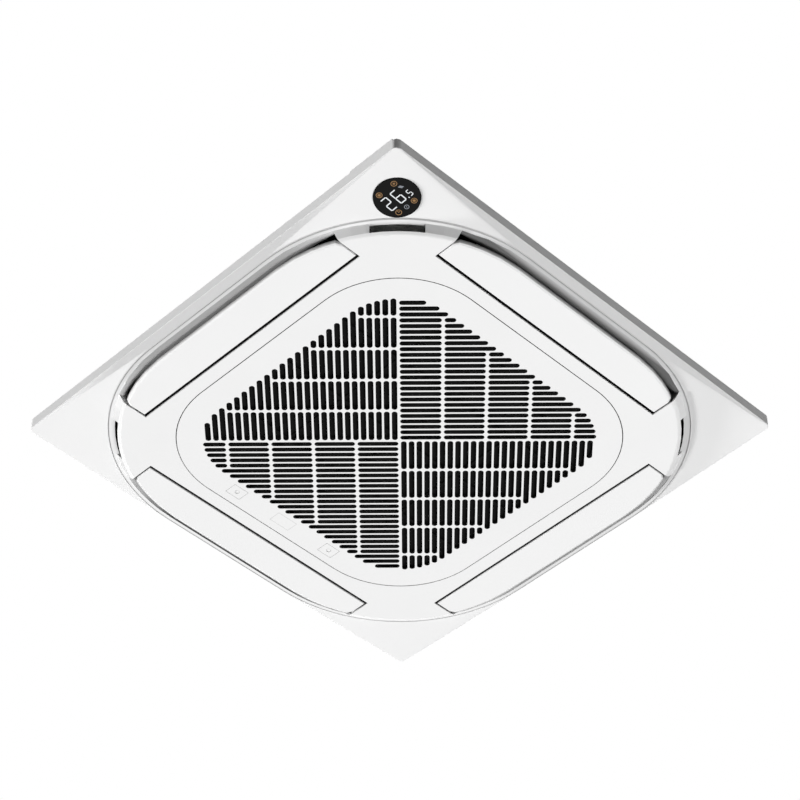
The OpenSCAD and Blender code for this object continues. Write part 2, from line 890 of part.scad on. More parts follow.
// Small stepping motors, one for each vane
module vane_motors() {
    color("silver") each_side()
        translate([pin_x, bay_l / 2 + duct_wall + near_gap, pin_z + vane_motor_offset])
            rotate([-quarter, 0, 0]) {
                cylinder(d = vane_motor_d, h = vane_motor_l, $fn = 64);
                for (x = [-vane_motor_ear, vane_motor_ear]) translate([x, 0, 0])
                    cylinder(d = vane_motor_ear_d, h = vane_motor_ear_t, $fn = 32);
                translate([-vane_motor_ear, -vane_motor_ear_d / 2, 0])
                    cube([2 * vane_motor_ear, vane_motor_ear_d, vane_motor_ear_t]);
            }
}

// One slot with round ends that starts at the origin and runs along X
module slot(l) {
    translate([slot_w / 2, 0]) circle(d = slot_w, $fn = 32);
    translate([l - slot_w / 2, 0]) circle(d = slot_w, $fn = 32);
    translate([slot_w / 2, -slot_w / 2]) square([l - slot_w, slot_w]);
}

// How far a slot may run before it meets the edge of the slot field
function field_reach(off) =
    let (
        side = field_w / root2,
        centre = (field_w / 2 - field_r) * root2,
        straight = side - off,
        corner = centre + sqrt(max(0, field_r * field_r - off * off)),
        tangent = field_r / root2
    )
    off < tangent ? corner
        : straight > tangent ? straight
        : sqrt(max(0, field_r * field_r - (off - centre) * (off - centre)));

// Slots of one quarter of the field: they run along X and step off against Y
module slot_quarter() {
    for (off = [slot_offset:slot_pitch:field_w / root2]) {
        end = field_reach(off);
        ribs = max(0, floor((end - slot_min_l) / rib_pitch));
        for (k = [0:ribs]) {
            start = k == 0 ? slot_start : k * rib_pitch + rib_w / 2;
            stop = k == ribs ? end : (k + 1) * rib_pitch - rib_w / 2;
            if (stop - start > slot_w + cut) translate([start, -off]) slot(stop - start);
        }
    }
}

module latch_place(side) {
    translate([latch_x, side * latch_y, 0]) children();
}

// Intake grille with its slots, the windows for the latches and a flange round its back
module intake_grille() {
    color("white") {
        translate([0, 0, face_z]) linear_extrude(wall) difference() {
            soft_square(grille_w, grille_r);
            for (turn = [0:3]) rotate(quarter * turn + eighth) slot_quarter();
            for (side = [-1, 1]) latch_place(side) soft_rectangle(latch_size, latch_r);
            translate([latch_x, 0]) soft_rectangle(cover_size, latch_r);
        }
        translate([0, 0, face_z]) linear_extrude(grille_flange_h) difference() {
            soft_square(grille_w, grille_r);
            soft_square(grille_w - 2 * wall, grille_r - wall);
        }
    }
}

// Frame of the air filter, with crossing bars
module filter_frame() {
    inner = filter_w - 2 * filter_bar;
    bay = inner / (filter_bar_count + 1);
    color("#4a4c50") {
        translate([0, 0, face_top]) linear_extrude(filter_h) difference() {
            soft_square(filter_w, field_r + filter_bar);
            soft_square(inner, field_r);
        }
        translate([0, 0, face_top + filter_h * half_share]) for (i = [1:filter_bar_count])
            for (turn = [0, quarter]) rotate(turn)
                translate([-inner / 2 + i * bay - filter_bar / 2, -inner / 2 - cut, 0])
                    cube([filter_bar, inner + 2 * cut, filter_h * half_share]);
    }
}

// Fine dust mesh on the filter frame
module filter_mesh() {
    color("#26282c") translate([0, 0, face_top + filter_h]) linear_extrude(mesh_t)
        soft_square(filter_w - filter_bar, field_r + filter_bar * half_share);
}

// Push button of a latch, flush with the grille
module latch_button() {
    size = [latch_size[0] - 2 * latch_gap, latch_size[1] - 2 * latch_gap];
    difference() {
        translate([0, 0, face_z]) linear_extrude(wall) soft_rectangle(size, latch_r);
        translate([0, 0, face_z - latch_dimple_h])
            cylinder(d = latch_dimple_d, h = 2 * latch_dimple_h, $fn = 32);
    }
    translate([0, 0, face_top]) linear_extrude(latch_wall)
        soft_rectangle([latch_size[0] + latch_room, latch_size[1] + latch_room], latch_r);
    translate([0, 0, face_top]) cylinder(d = latch_stem_d, h = latch_stem_h, $fn = 32);
}

module latch_button_a() {
    color("white") latch_place(-1) latch_button();
}

module latch_button_b() {
    color("white") latch_place(1) latch_button();
}

// Housings that guide the latch buttons behind the grille, each with a tongue towards the frame
module latch_housings() {
    room = [latch_size[0] + 2 * latch_room, latch_size[1] + 2 * latch_room];
    size = [room[0] + 2 * latch_wall, room[1] + 2 * latch_wall];
    room_h = latch_wall + latch_travel + latch_room;
    h = latch_stem_h + latch_travel + latch_room;
    tongue_l = opening_half + latch_x - size[0] / 2 - near_gap;
    color("gainsboro") for (side = [-1, 1]) latch_place(side) {
        difference() {
            translate([0, 0, face_top]) linear_extrude(h) soft_rectangle(size, latch_r);
            translate([0, 0, face_top - cut]) linear_extrude(room_h + cut) soft_rectangle(room, latch_r);
            translate([0, 0, face_top])
                cylinder(d = latch_stem_d + 2 * latch_gap, h = h + cut, $fn = 32);
        }
        translate([-size[0] / 2 - tongue_l, -latch_tongue_w / 2, face_z + grille_flange_h + near_gap])
            cube([tongue_l + latch_wall, latch_tongue_w, latch_wall]);
    }
}

// Blank cover over the screw between the latches
module screw_cover() {
    size = [cover_size[0] - 2 * running_gap, cover_size[1] - 2 * running_gap];
    color("white") {
        translate([latch_x, 0, face_z]) linear_extrude(wall) soft_rectangle(size, latch_r);
        translate([latch_x, 0, face_top]) linear_extrude(latch_wall)
            soft_rectangle([cover_size[0] + 2 * latch_room, cover_size[1] + 2 * latch_room], latch_r);
    }
}

function bezel_r() = lens_d / 2 + bezel_w;

// Frame of the display: its Z axis leaves the panel's face towards the room
module display_place() {
    rotate(-eighth) translate([display_diag, 0, display_z])
        rotate([0, 2 * quarter - display_tilt, 0]) children();
}

module display_bezel() {
    color("whitesmoke") display_place() difference() {
        translate([0, 0, -bezel_h]) cylinder(r = bezel_r(), h = bezel_h, $fn = 96);
        translate([0, 0, -lens_t]) cylinder(d = lens_d, h = lens_t + cut, $fn = 96);
        translate([0, 0, -bezel_h - cut])
            cylinder(r = lens_d / 2 - bezel_lip, h = bezel_h + cut, $fn = 96);
    }
}

module display_lens() {
    color("black") display_place() translate([0, 0, -lens_t])
        cylinder(d = lens_d, h = lens_t, $fn = 96);
}

// Circuit board of the display, held against the bezel's rear step
module display_board() {
    color("darkgreen") display_place() translate([0, 0, -bezel_h]) {
        translate([0, 0, -board_t]) cylinder(r = bezel_r(), h = board_t, $fn = 64);
        translate([-digits_size[0] / 2, -digits_size[1] / 2, -near_gap])
            cube([digits_size[0], digits_size[1], digits_size[2] + near_gap]);
        translate([-plug_size[0] / 2, -plug_size[1] / 2, -board_t - plug_size[2]])
            cube([plug_size[0], plug_size[1], plug_size[2] + near_gap]);
    }
}

// Outline of the casing, drawn in by a distance
module body_outline(inset) {
    half = body_half - inset;
    c = half - body_chamfer + inset * (2 - root2);
    polygon([
        [half, -c], [half, c], [c, half], [-c, half],
        [-half, c], [-half, -c], [-c, -half], [c, -half]
    ]);
}

// Holes for the pipes and the drain spigot in the casing's walls
module wall_holes(extra) {
    translate([header_x, body_half + foam_t, gas_z]) rotate([quarter, 0, 0])
        cylinder(d = gas_pipe_d + extra, h = 4 * foam_t, $fn = 48);
    translate([liquid_x, body_half + foam_t, liquid_z]) rotate([quarter, 0, 0])
        cylinder(d = liquid_pipe_d + extra, h = 4 * foam_t, $fn = 48);
    translate([-body_half - foam_t, pump_y, spigot_z]) rotate([0, quarter, 0])
        cylinder(d = spigot_d + extra, h = 4 * foam_t, $fn = 64);
}

module casing_wall() {
    color("lightsteelblue") difference() {
        translate([0, 0, body_z]) linear_extrude(body_h) body_outline(0);
        translate([0, 0, body_z + sheet]) linear_extrude(body_h) body_outline(sheet);
        translate([0, 0, body_z - cut]) linear_extrude(body_h) body_outline(casing_flange_w);
        wall_holes(2 * running_gap);
    }
}

// Lid of the casing with pressed beads and a turned-down edge
module top_plate() {
    color("lightsteelblue") {
        translate([0, 0, body_top]) linear_extrude(sheet) body_outline(0);
        translate([0, 0, body_top + sheet]) {
            difference() {
                cylinder(r = top_bead_r + top_bead_w / 2, h = top_bead_h, $fn = 128);
                translate([0, 0, -cut])
                    cylinder(r = top_bead_r - top_bead_w / 2, h = top_bead_h + 2 * cut, $fn = 128);
            }
            for (turn = [0:3]) rotate(quarter * turn)
                translate([motor_ear_r + motor_ear_d, -top_bead_w / 2, 0])
                    cube([top_bead_r - motor_ear_r - motor_ear_d, top_bead_w, top_bead_h]);
        }
    }
}

// Insulating liner inside the casing, with its ceiling
module casing_liner() {
    side = sheet + near_gap;
    color("#e8e4da") difference() {
        translate([0, 0, pan_top]) linear_extrude(liner_top - pan_top) body_outline(side);
        translate([0, 0, pan_top - cut]) linear_extrude(liner_ceiling - pan_top + cut)
            body_outline(side + foam_t);
        wall_holes(2 * running_gap);
        for (i = [0:motor_mount_count - 1]) rotate(i * 4 * quarter / motor_mount_count + eighth)
            translate([motor_ear_r, 0, liner_ceiling - cut])
                cylinder(d = mount_d + 2 * near_gap, h = foam_t + 2 * cut, $fn = 48);
    }
}

// Bracket for one hanging rod, drawn at the +X +Y corner
module hanger_bracket() {
    plane = (body_w - body_chamfer) / root2;
    rod = [body_half - rod_inset_x, body_half - rod_inset_y];
    across = (rod[1] - rod[0]) / root2;
    difference() {
        rotate(eighth) {
            translate([plane, across - bracket_w / 2, bracket_z])
                cube([bracket_reach, bracket_w, bracket_t]);
            translate([plane, across - bracket_w / 2, bracket_z - bracket_leg_h])
                cube([bracket_t, bracket_w, bracket_leg_h + cut]);
            for (y = [-bracket_w / 2, bracket_w / 2 - bracket_t]) translate([plane, across + y, bracket_z])
                rotate([-quarter, 0, 0]) linear_extrude(bracket_t)
                    polygon([[0, -cut], [bracket_reach, -cut], [bracket_t, bracket_leg_h], [0, bracket_leg_h]]);
        }
        translate([rod[0], rod[1], bracket_z - cut]) {
            for (x = [-1, 1]) translate([x * (rod_slot_l - rod_slot_w) / 2, 0, 0])
                cylinder(d = rod_slot_w, h = bracket_t + 2 * cut, $fn = 48);
            translate([-(rod_slot_l - rod_slot_w) / 2, -rod_slot_w / 2, 0])
                cube([rod_slot_l - rod_slot_w, rod_slot_w, bracket_t + 2 * cut]);
        }
    }
}

// Copies at the four rods, mirrored from the +X +Y corner
module each_rod() {
    for (x = [0, 1]) for (y = [0, 1]) mirror([x, 0, 0]) mirror([0, y, 0]) children();
}

module hanger_brackets() {
    color("silver") each_rod() hanger_bracket();
}

// Screws through the brackets' upright legs
module bracket_screws() {
    plane = (body_w - body_chamfer) / root2;
    across = (rod_inset_x - rod_inset_y) / root2;
    color("gray") each_rod() rotate(eighth) for (y = [-1, 1])
        translate([plane + bracket_t, across + y * bracket_screw_gap / 2, bracket_z - bracket_leg_h / 2])
            rotate([0, quarter, 0])
                cylinder(d = bracket_screw_d, h = bracket_screw_h, $fn = 6);
}

// Cover plate where the pipes leave the casing
module pipe_plate() {
    mid_z = (gas_z + liquid_z) / 2;
    mid_x = (header_x + liquid_x) / 2;
    color("silver") difference() {
        translate([mid_x - plate_size[0] / 2, body_half, mid_z - plate_size[1] / 2])
            cube([plate_size[0], plate_t, plate_size[1]]);
        wall_holes(2 * running_gap);
    }
}

// Round inlet that leads the air into the fan wheel
module bell_mouth() {
    mouth = throat_r + bell_r;
    foot = pan_z - bell_t;
    color("whitesmoke") rotate_extrude($fn = 128) {
        intersection() {
            translate([mouth, foot + bell_r]) difference() {
                circle(r = bell_r, $fn = 128);
                circle(r = bell_r - bell_t, $fn = 128);
            }
            translate([throat_r - cut, foot - cut]) square([bell_r + cut, bell_r + cut]);
        }
        translate([mouth, foot]) square([bell_flange_r - mouth, bell_t]);
        translate([throat_r, foot + bell_r]) square([bell_t, bell_top - foot - bell_r]);
    }
}

// Centrifugal fan wheel: hub, blades and shroud in one moulding
module fan_wheel() {
    color("#d9dde0") {
        rotate_extrude($fn = 96) {
            fan_hub_section();
            fan_shroud_section();
        }
        intersection() {
            for (i = [0:blade_count - 1]) rotate(i * 4 * quarter / blade_count) fan_blade();
            rotate_extrude($fn = 96) blade_room_section();
        }
    }
}

module fan_hub_section() {
    polygon([
        [shaft_d / 2, boss_z], [cup_r, boss_z], [hub_r, fan_top - fan_skin],
        [fan_r, fan_top - fan_skin], [fan_r, fan_top], [hub_r - fan_skin, fan_top],
        [cup_r - fan_skin, boss_z + fan_skin], [shaft_d / 2, boss_z + fan_skin]
    ]);
    translate([shaft_d / 2, boss_z - boss_h]) square([boss_r - shaft_d / 2, boss_h + cut]);
}

module fan_shroud_section() {
    rise = [fan_r - fan_inlet_r, shroud_rise];
    polygon([
        [fan_inlet_r, shroud_foot], [fan_inlet_r + fan_skin, shroud_foot],
        [fan_inlet_r + fan_skin + rise[0] * shroud_near_share, shroud_foot + rise[1] * shroud_low_share],
        [fan_r, shroud_foot + rise[1] - fan_skin], [fan_r, shroud_foot + rise[1]],
        [fan_inlet_r + rise[0] * shroud_near_share, shroud_foot + rise[1] * shroud_low_share + fan_skin]
    ]);
}

// Space between shroud and hub that the blades fill
module blade_room_section() {
    rise = [fan_r - fan_inlet_r, shroud_rise];
    polygon([
        [blade_in_r, fan_top - fan_skin * half_share],
        [blade_in_r, shroud_foot + rise[1]],
        [fan_inlet_r, bell_top + fan_inlet_gap],
        [fan_inlet_r + fan_skin * half_share, shroud_foot + cut],
        [fan_inlet_r + rise[0] * shroud_near_share + fan_skin * half_share,
            shroud_foot + rise[1] * shroud_low_share + fan_skin * half_share],
        [fan_r - cut, shroud_foot + rise[1] - fan_skin * half_share],
        [fan_r - cut, fan_top - fan_skin * half_share]
    ]);
}

// One backward-curved blade
module fan_blade() {
    translate([0, 0, shroud_foot]) linear_extrude(fan_top - shroud_foot) intersection() {
        translate([blade_centre_r, 0]) difference() {
            circle(r = blade_bow_r, $fn = 128);
            circle(r = blade_bow_r - blade_t, $fn = 128);
        }
        translate([0, 0]) square([fan_d, fan_d]);
        difference() {
            circle(r = fan_r, $fn = 128);
            circle(r = blade_in_r, $fn = 128);
        }
    }
}

module fan_nut() {
    color("gray") translate([0, 0, boss_z - boss_h - nut_h]) difference() {
        cylinder(d = nut_d, h = nut_h, $fn = 6);
        translate([0, 0, -cut]) cylinder(d = shaft_d, h = nut_h + 2 * cut, $fn = 48);
    }
}

module motor_shaft() {
    foot = boss_z - boss_h - nut_h - shaft_d / 2;
    color("silver") translate([0, 0, foot]) cylinder(d = shaft_d, h = motor_top - foot - motor_gap, $fn = 48);
}

// Fan motor with cooling ribs and four ears
module fan_motor() {
    r = motor_d / 2;
    color("#8f959a") difference() {
        union() {
            translate([0, 0, motor_base]) cylinder(r = r - motor_gap, h = motor_top - motor_base, $fn = 96);
            translate([0, 0, motor_base + motor_gap])
                cylinder(r = r, h = motor_top - motor_base - motor_gap, $fn = 96);
            for (i = [0:motor_mount_count - 1]) rotate(i * 4 * quarter / motor_mount_count + eighth) {
                translate([motor_ear_r, 0, motor_top - motor_ear_t])
                    cylinder(d = motor_ear_d, h = motor_ear_t, $fn = 48);
                translate([0, -motor_ear_d / 2, motor_top - motor_ear_t])
                    cube([motor_ear_r, motor_ear_d, motor_ear_t]);
            }
        }
        translate([0, 0, motor_base - cut])
            cylinder(d = shaft_d + 2 * running_gap, h = motor_top - motor_base - motor_gap + cut + near_gap, $fn = 48);
    }
}

// Rubber mounts between the motor's ears and the top plate
module motor_mounts() {
    color("#1d1d1f") for (i = [0:motor_mount_count - 1])
        rotate(i * 4 * quarter / motor_mount_count + eighth) translate([motor_ear_r, 0, motor_top])
            cylinder(d = mount_d, h = body_top - motor_top, $fn = 48);
}

// Finned block bent round three corners and open at the drain corner
module coil_fins() {
    color("#b9c2c8") translate([0, 0, coil_base]) linear_extrude(coil_top - coil_base) difference() {
        soft_square(coil_w, coil_r);
        soft_square(coil_w - 2 * coil_t, coil_r - coil_t * half_share);
        drain_corner(coil_cut);
    }
}

// Everything past a distance towards -X and +Y
module drain_corner(from) {
    translate([-body_w, from]) square([body_w - from, body_w]);
}

// Steel plates on the two open ends of the heat exchanger
module coil_end_plates() {
    h = coil_top - coil_base;
    color("silver") {
        translate([-coil_cut - end_plate_t, coil_half - coil_t, coil_base])
            cube([end_plate_t, coil_t, h]);
        translate([-coil_half, coil_cut, coil_base]) cube([coil_t, end_plate_t, h]);
    }
}

// Hairpin bends that join the tubes at the end of the heat exchanger
module return_bends() {
    step = (coil_top - coil_base) / bend_count;
    color("#b87333") for (i = [0:bend_count - 1])
        translate([-coil_half + coil_t / 2, coil_cut + end_plate_t, coil_base + (i + half_share) * step])
            rotate([0, -quarter, 0]) rotate_extrude(angle = 2 * quarter, $fn = 48)
                translate([bend_r, 0]) circle(d = bend_tube_d, $fn = 24);
}

// Upright collecting tube of the gas side, with stubs into the heat exchanger
module gas_header() {
    l = -coil_cut - end_plate_t - header_x;
    step = (header_head - header_foot) / stub_count;
    color("#b87333") {
        translate([header_x, gas_header_y, header_foot])
            cylinder(d = gas_header_d, h = header_head - header_foot, $fn = 48);
        for (i = [0:stub_count - 1])
            translate([header_x, gas_header_y, header_foot + (i + half_share) * step])
                rotate([0, quarter, 0]) cylinder(d = stub_d, h = l, $fn = 24);
    }
}

module liquid_header() {
    l = -coil_cut - end_plate_t - liquid_x;
    step = (header_head - header_foot) / stub_count;
    color("#b87333") {
        translate([liquid_x, liquid_header_y, header_foot])
            cylinder(d = liquid_header_d, h = header_head - header_foot, $fn = 48);
        for (i = [0:stub_count - 1])
            translate([liquid_x, liquid_header_y, header_foot + (i + half_share) * step])
                rotate([0, quarter, 0]) cylinder(d = stub_d, h = l, $fn = 24);
    }
}

// Straight pipe from a header out through the casing, open at its free end
module outlet_pipe(x, from_y, z, d) {
    translate([x, pipe_end, z]) rotate([quarter, 0, 0]) difference() {
        cylinder(d = d, h = pipe_end - from_y, $fn = 64);
        translate([0, 0, -cut]) cylinder(d = d - 2 * pipe_wall, h = pipe_end - from_y - d, $fn = 64);
    }
}

module gas_pipe() {
    color("#b87333") outlet_pipe(header_x, gas_header_y + gas_header_d / 2, gas_z, gas_pipe_d);
}

module liquid_pipe() {
    color("#b87333")
        outlet_pipe(liquid_x, liquid_header_y + liquid_header_d / 2, liquid_z, liquid_pipe_d);
}

// Flare unions on the ends of the two pipes: a hexagon and a threaded stub
module flare_unions() {
    color("#c9a24a") {
        flare_union(header_x, gas_z, gas_pipe_d, gas_thread_d);
        flare_union(liquid_x, liquid_z, liquid_pipe_d, liquid_thread_d);
    }
}

module flare_union(x, z, pipe_d, thread_d) {
    translate([x, union_start, z]) rotate([-quarter, 0, 0]) difference() {
        union() {
            cylinder(d = pipe_d * union_hex_share, h = union_hex_w, $fn = 6);
            cylinder(d = thread_d, h = union_hex_w + union_stub_l, $fn = 64);
        }
        translate([0, 0, -cut]) cylinder(d = pipe_d, h = union_hex_w + cut, $fn = 64);
        cylinder(d = pipe_d - 2 * pipe_wall, h = union_hex_w + union_stub_l + cut, $fn = 64);
    }
}

// Moulded foam pan under the heat exchanger, with the inlet, four outlets and the sump
module drain_pan() {
    color("#f1efe9") difference() {
        translate([0, 0, pan_z]) linear_extrude(pan_h) body_outline(sheet + near_gap);
        translate([0, 0, pan_z - cut]) cylinder(r = throat_r + bell_r + near_gap, h = pan_h + 2 * cut, $fn = 128);
        each_side() translate([port_in, -port_l / 2, pan_z - cut])
            cube([port_w, port_l, pan_h + 2 * cut]);
        translate([0, 0, coil_base]) linear_extrude(pan_h) difference() {
            soft_square(coil_w + 2 * near_gap, coil_r + near_gap);
            soft_square(coil_w - 2 * coil_t - 2 * foam_t, coil_r - coil_t * half_share);
        }
        translate([0, 0, sump_z]) linear_extrude(pan_h) intersection() {
            translate([-coil_cut - sump_size, coil_cut]) square([sump_size, sump_size]);
            body_outline(sheet + pan_wall);
        }
        each_corner() translate([post_diag, 0, pan_z - cut])
            cylinder(d = screw_d, h = screw_grip + cut, $fn = 32);
    }
}

// Condensate pump with its motor on top and a side nozzle
module drain_pump() {
    color("#e4e6e8") difference() {
        union() {
            translate([pump_x, pump_y, sump_z]) cylinder(d = pump_d, h = pump_h, $fn = 64);
            translate([pump_x, pump_y, sump_z + pump_h])
                cylinder(d = pump_motor_d, h = pump_motor_h, $fn = 64);
            translate([hose_x + hose_bend_r, pump_y, nozzle_z]) rotate([0, quarter, 0])
                cylinder(d = hose_d, h = pump_x - hose_x - hose_bend_r, $fn = 48);
        }
        translate([pump_x, pump_y, sump_z - cut])
            cylinder(d = pump_cavity_d, h = pump_wheel_z - sump_z + 2 * pump_wheel_h, $fn = 64);
        translate([pump_x, pump_y, sump_z])
            cylinder(d = pump_shaft_d + 2 * running_gap, h = pump_h, $fn = 32);
    }
}

// Small paddle wheel inside the pump
module pump_impeller() {
    color("dimgray") translate([pump_x, pump_y, pump_wheel_z]) {
        cylinder(d = pump_shaft_d, h = pump_h - pump_wheel_z + sump_z - near_gap, $fn = 32);
        for (turn = [0, quarter]) rotate(turn)
            translate([-pump_wheel_d / 2, -pump_shaft_d / 4, 0])
                cube([pump_wheel_d, pump_shaft_d / 2, pump_wheel_h]);
    }
}

// Stem of the level switch, fixed in the sump
module float_stem() {
    h = float_lift + float_h + float_travel;
    color("gainsboro") translate([float_x, float_y, sump_z]) {
        cylinder(d = stem_d, h = h + near_gap, $fn = 32);
        cylinder(d = stem_cap_d, h = float_lift, $fn = 32);
        translate([0, 0, h + near_gap]) cylinder(d = stem_cap_d, h = stem_cap_h, $fn = 32);
    }
}

// Float that rises on the stem with the water
module float() {
    color("white") translate([float_x, float_y, sump_z + float_lift]) difference() {
        cylinder(d = float_d, h = float_h, $fn = 48);
        translate([0, 0, -cut]) cylinder(d = float_bore, h = float_h + 2 * cut, $fn = 32);
    }
}

// Hose from the pump's nozzle up to the spigot, with a bend at each end
module drain_hose() {
    run = spigot_z - nozzle_z - 2 * hose_bend_r;
    color("#cfd3d6") {
        translate([hose_x + hose_bend_r, pump_y, nozzle_z + hose_bend_r]) rotate([quarter, 0, 0])
            rotate([0, 0, 2 * quarter]) hose_bend();
        translate([hose_x, pump_y, nozzle_z + hose_bend_r]) linear_extrude(run) hose_section();
        translate([hose_x - hose_bend_r, pump_y, spigot_z - hose_bend_r]) rotate([quarter, 0, 0])
            hose_bend();
    }
}

module hose_bend() {
    rotate_extrude(angle = quarter, $fn = 64) translate([hose_bend_r, 0]) hose_section();
}

module hose_section() {
    difference() {
        circle(d = hose_d, $fn = 48);
        circle(d = hose_bore, $fn = 48);
    }
}

// Drain spigot that leaves the casing on the -X side
module drain_spigot() {
    start = -hose_x + hose_bend_r;
    color("whitesmoke") difference() {
        union() {
            translate([-spigot_end, pump_y, spigot_z]) rotate([0, quarter, 0])
                cylinder(d = spigot_d, h = spigot_end - start, $fn = 64);
            translate([-body_half - spigot_flange_t, pump_y, spigot_z]) rotate([0, quarter, 0])
                cylinder(d = spigot_flange_d, h = spigot_flange_t, $fn = 64);
        }
        translate([-spigot_end - cut, pump_y, spigot_z]) rotate([0, quarter, 0])
            cylinder(d = spigot_d - 2 * spigot_wall, h = spigot_end - start - spigot_wall, $fn = 64);
        translate([-spigot_end, pump_y, spigot_z]) rotate([0, quarter, 0])
            cylinder(d = hose_bore, h = spigot_end, $fn = 48);
    }
}

// Sheet-metal control box under the drain pan
module control_box() {
    floor_z = pan_z - box_h;
    color("lightgray") difference() {
        translate([box_x, -box_l / 2, floor_z]) cube([box_w, box_l, box_h]);
        translate([box_x + sheet, -box_l / 2 + sheet, floor_z - cut])
            cube([box_w - 2 * sheet, box_l - 2 * sheet, box_h - sheet + cut]);
        translate([box_x + box_w / 2, box_l / 2 + cut, floor_z + box_h / 2]) rotate([quarter, 0, 0])
            cylinder(d = cable_hole_d, h = sheet + 2 * cut, $fn = 48);
    }
}

// Lid that closes the box from below
module control_box_lid() {
    floor_z = pan_z - box_h;
    color("silver") difference() {
        translate([box_x + sheet, -box_l / 2 + sheet, floor_z])
            cube([box_w - 2 * sheet, box_l - 2 * sheet, box_lid_h]);
        translate([box_x + 2 * sheet, -box_l / 2 + 2 * sheet, floor_z + sheet])
            cube([box_w - 4 * sheet, box_l - 4 * sheet, box_lid_h]);
    }
}

// Control board hung from the roof of the box on four spacers
module control_board() {
    roof = pan_z - sheet;
    l = box_l - terminal_size[1] - 6 * box_lid_h;
    w = box_w - 4 * box_lid_h * half_share;
    color("darkgreen") translate([box_x + box_w / 2, -box_l / 2 + 2 * box_lid_h, roof - box_board_rise]) {
        translate([-w / 2, 0, -box_board_t]) cube([w, l, box_board_t]);
        for (x = [-w / 2 + box_lid_h, w / 2 - box_lid_h]) for (y = [box_lid_h, l - box_lid_h])
            translate([x, y, -near_gap]) cylinder(d = box_lid_h * half_share, h = box_board_rise + near_gap, $fn = 24);
    }
}

// Terminal block for the supply and the remote wiring
module terminal_block() {
    roof = pan_z - sheet;
    color("ivory") difference() {
        translate([box_x + box_w / 2 - terminal_size[0] / 2, box_l / 2 - terminal_size[1] - box_lid_h, roof - terminal_size[2]])
            cube(terminal_size);
        for (i = [0:terminal_count - 1])
            translate([
                box_x + box_w / 2,
                box_l / 2 - box_lid_h - terminal_size[1] * (i + half_share) / terminal_count,
                roof - terminal_size[2] - cut
            ])
                cylinder(d = terminal_screw_d, h = terminal_size[2] * half_share, $fn = 24);
    }
}

panel_surround();
outlet_frame();
outlet_ducts();
duct_gaskets();
ceiling_seal();
panel_screws();
corner_nozzles();
vane_right();
vane_rear();
vane_left();
vane_front();
vane_bushes();
vane_motors();
intake_grille();
filter_frame();
filter_mesh();
hinge_hooks();
latch_housings();
latch_button_a();
latch_button_b();
screw_cover();
display_bezel();
display_lens();
display_board();
casing_wall();
top_plate();
casing_liner();
hanger_brackets();
bracket_screws();
pipe_plate();
bell_mouth();
fan_wheel();
fan_nut();
motor_shaft();
fan_motor();
motor_mounts();
coil_fins();
coil_end_plates();
return_bends();
gas_header();
liquid_header();
gas_pipe();
liquid_pipe();
flare_unions();
drain_pan();
drain_pump();
pump_impeller();
float_stem();
float();
drain_hose();
drain_spigot();
control_box();
control_box_lid();
control_board();
terminal_block();
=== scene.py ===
# The looks of a ceiling cassette air conditioner, seen from the room below.

import math

import bmesh
import bpy
from mathutils import Matrix, Vector


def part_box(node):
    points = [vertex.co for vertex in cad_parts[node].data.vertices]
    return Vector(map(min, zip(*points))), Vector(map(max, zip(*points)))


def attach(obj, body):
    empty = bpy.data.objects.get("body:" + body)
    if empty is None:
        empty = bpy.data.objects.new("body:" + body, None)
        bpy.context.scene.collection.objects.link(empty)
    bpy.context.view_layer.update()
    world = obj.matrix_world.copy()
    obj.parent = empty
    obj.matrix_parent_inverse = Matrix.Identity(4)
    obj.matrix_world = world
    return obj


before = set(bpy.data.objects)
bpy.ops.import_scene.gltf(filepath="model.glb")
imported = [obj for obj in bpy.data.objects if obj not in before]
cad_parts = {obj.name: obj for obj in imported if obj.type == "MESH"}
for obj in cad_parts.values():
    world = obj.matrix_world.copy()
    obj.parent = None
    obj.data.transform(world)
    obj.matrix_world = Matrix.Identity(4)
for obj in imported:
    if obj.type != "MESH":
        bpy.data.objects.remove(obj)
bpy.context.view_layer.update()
mm = 0.001


# Casing
# The eight-sided can is folded from galvanised steel sheet, with a beaded lid screwed on top
# and four brackets that hang the unit from its rods. The zinc shows its crystal spangle.

class Level:
    """A value in a finish. Arithmetic on it adds the Math nodes."""

    def __init__(self, nodes, socket):
        self.nodes = nodes
        self.socket = socket

    def maths(self, operation, *others):
        values = dict(enumerate((self, *others)))
        return self.nodes.add("ShaderNodeMath", {"operation": operation}, values)

    def __add__(self, other):
        return self.maths("ADD", other)

    def __sub__(self, other):
        return self.maths("SUBTRACT", other)

    def __rsub__(self, other):
        return self * -1 + other

    def __mul__(self, other):
        return self.maths("MULTIPLY", other)

    def __gt__(self, other):
        return self.maths("GREATER_THAN", other)

    def __lt__(self, other):
        return self.maths("LESS_THAN", other)

    def __abs__(self):
        return self.maths("ABSOLUTE")

    __radd__ = __add__

    def wave(self, pitch):
        """A sine from 0 to 1 that comes back at each pitch."""
        return (self * (2 * math.pi / pitch)).maths("SINE") * 0.5 + 0.5

    def spread(self, low, high, to_low=0.0, to_high=1.0):
        """Lays the stretch from low to high over another one, and clips what lies outside."""
        ends = {"From Min": low, "From Max": high, "To Min": to_low, "To Max": to_high}
        return self.nodes.add("ShaderNodeMapRange", {}, {"Value": self, **ends})


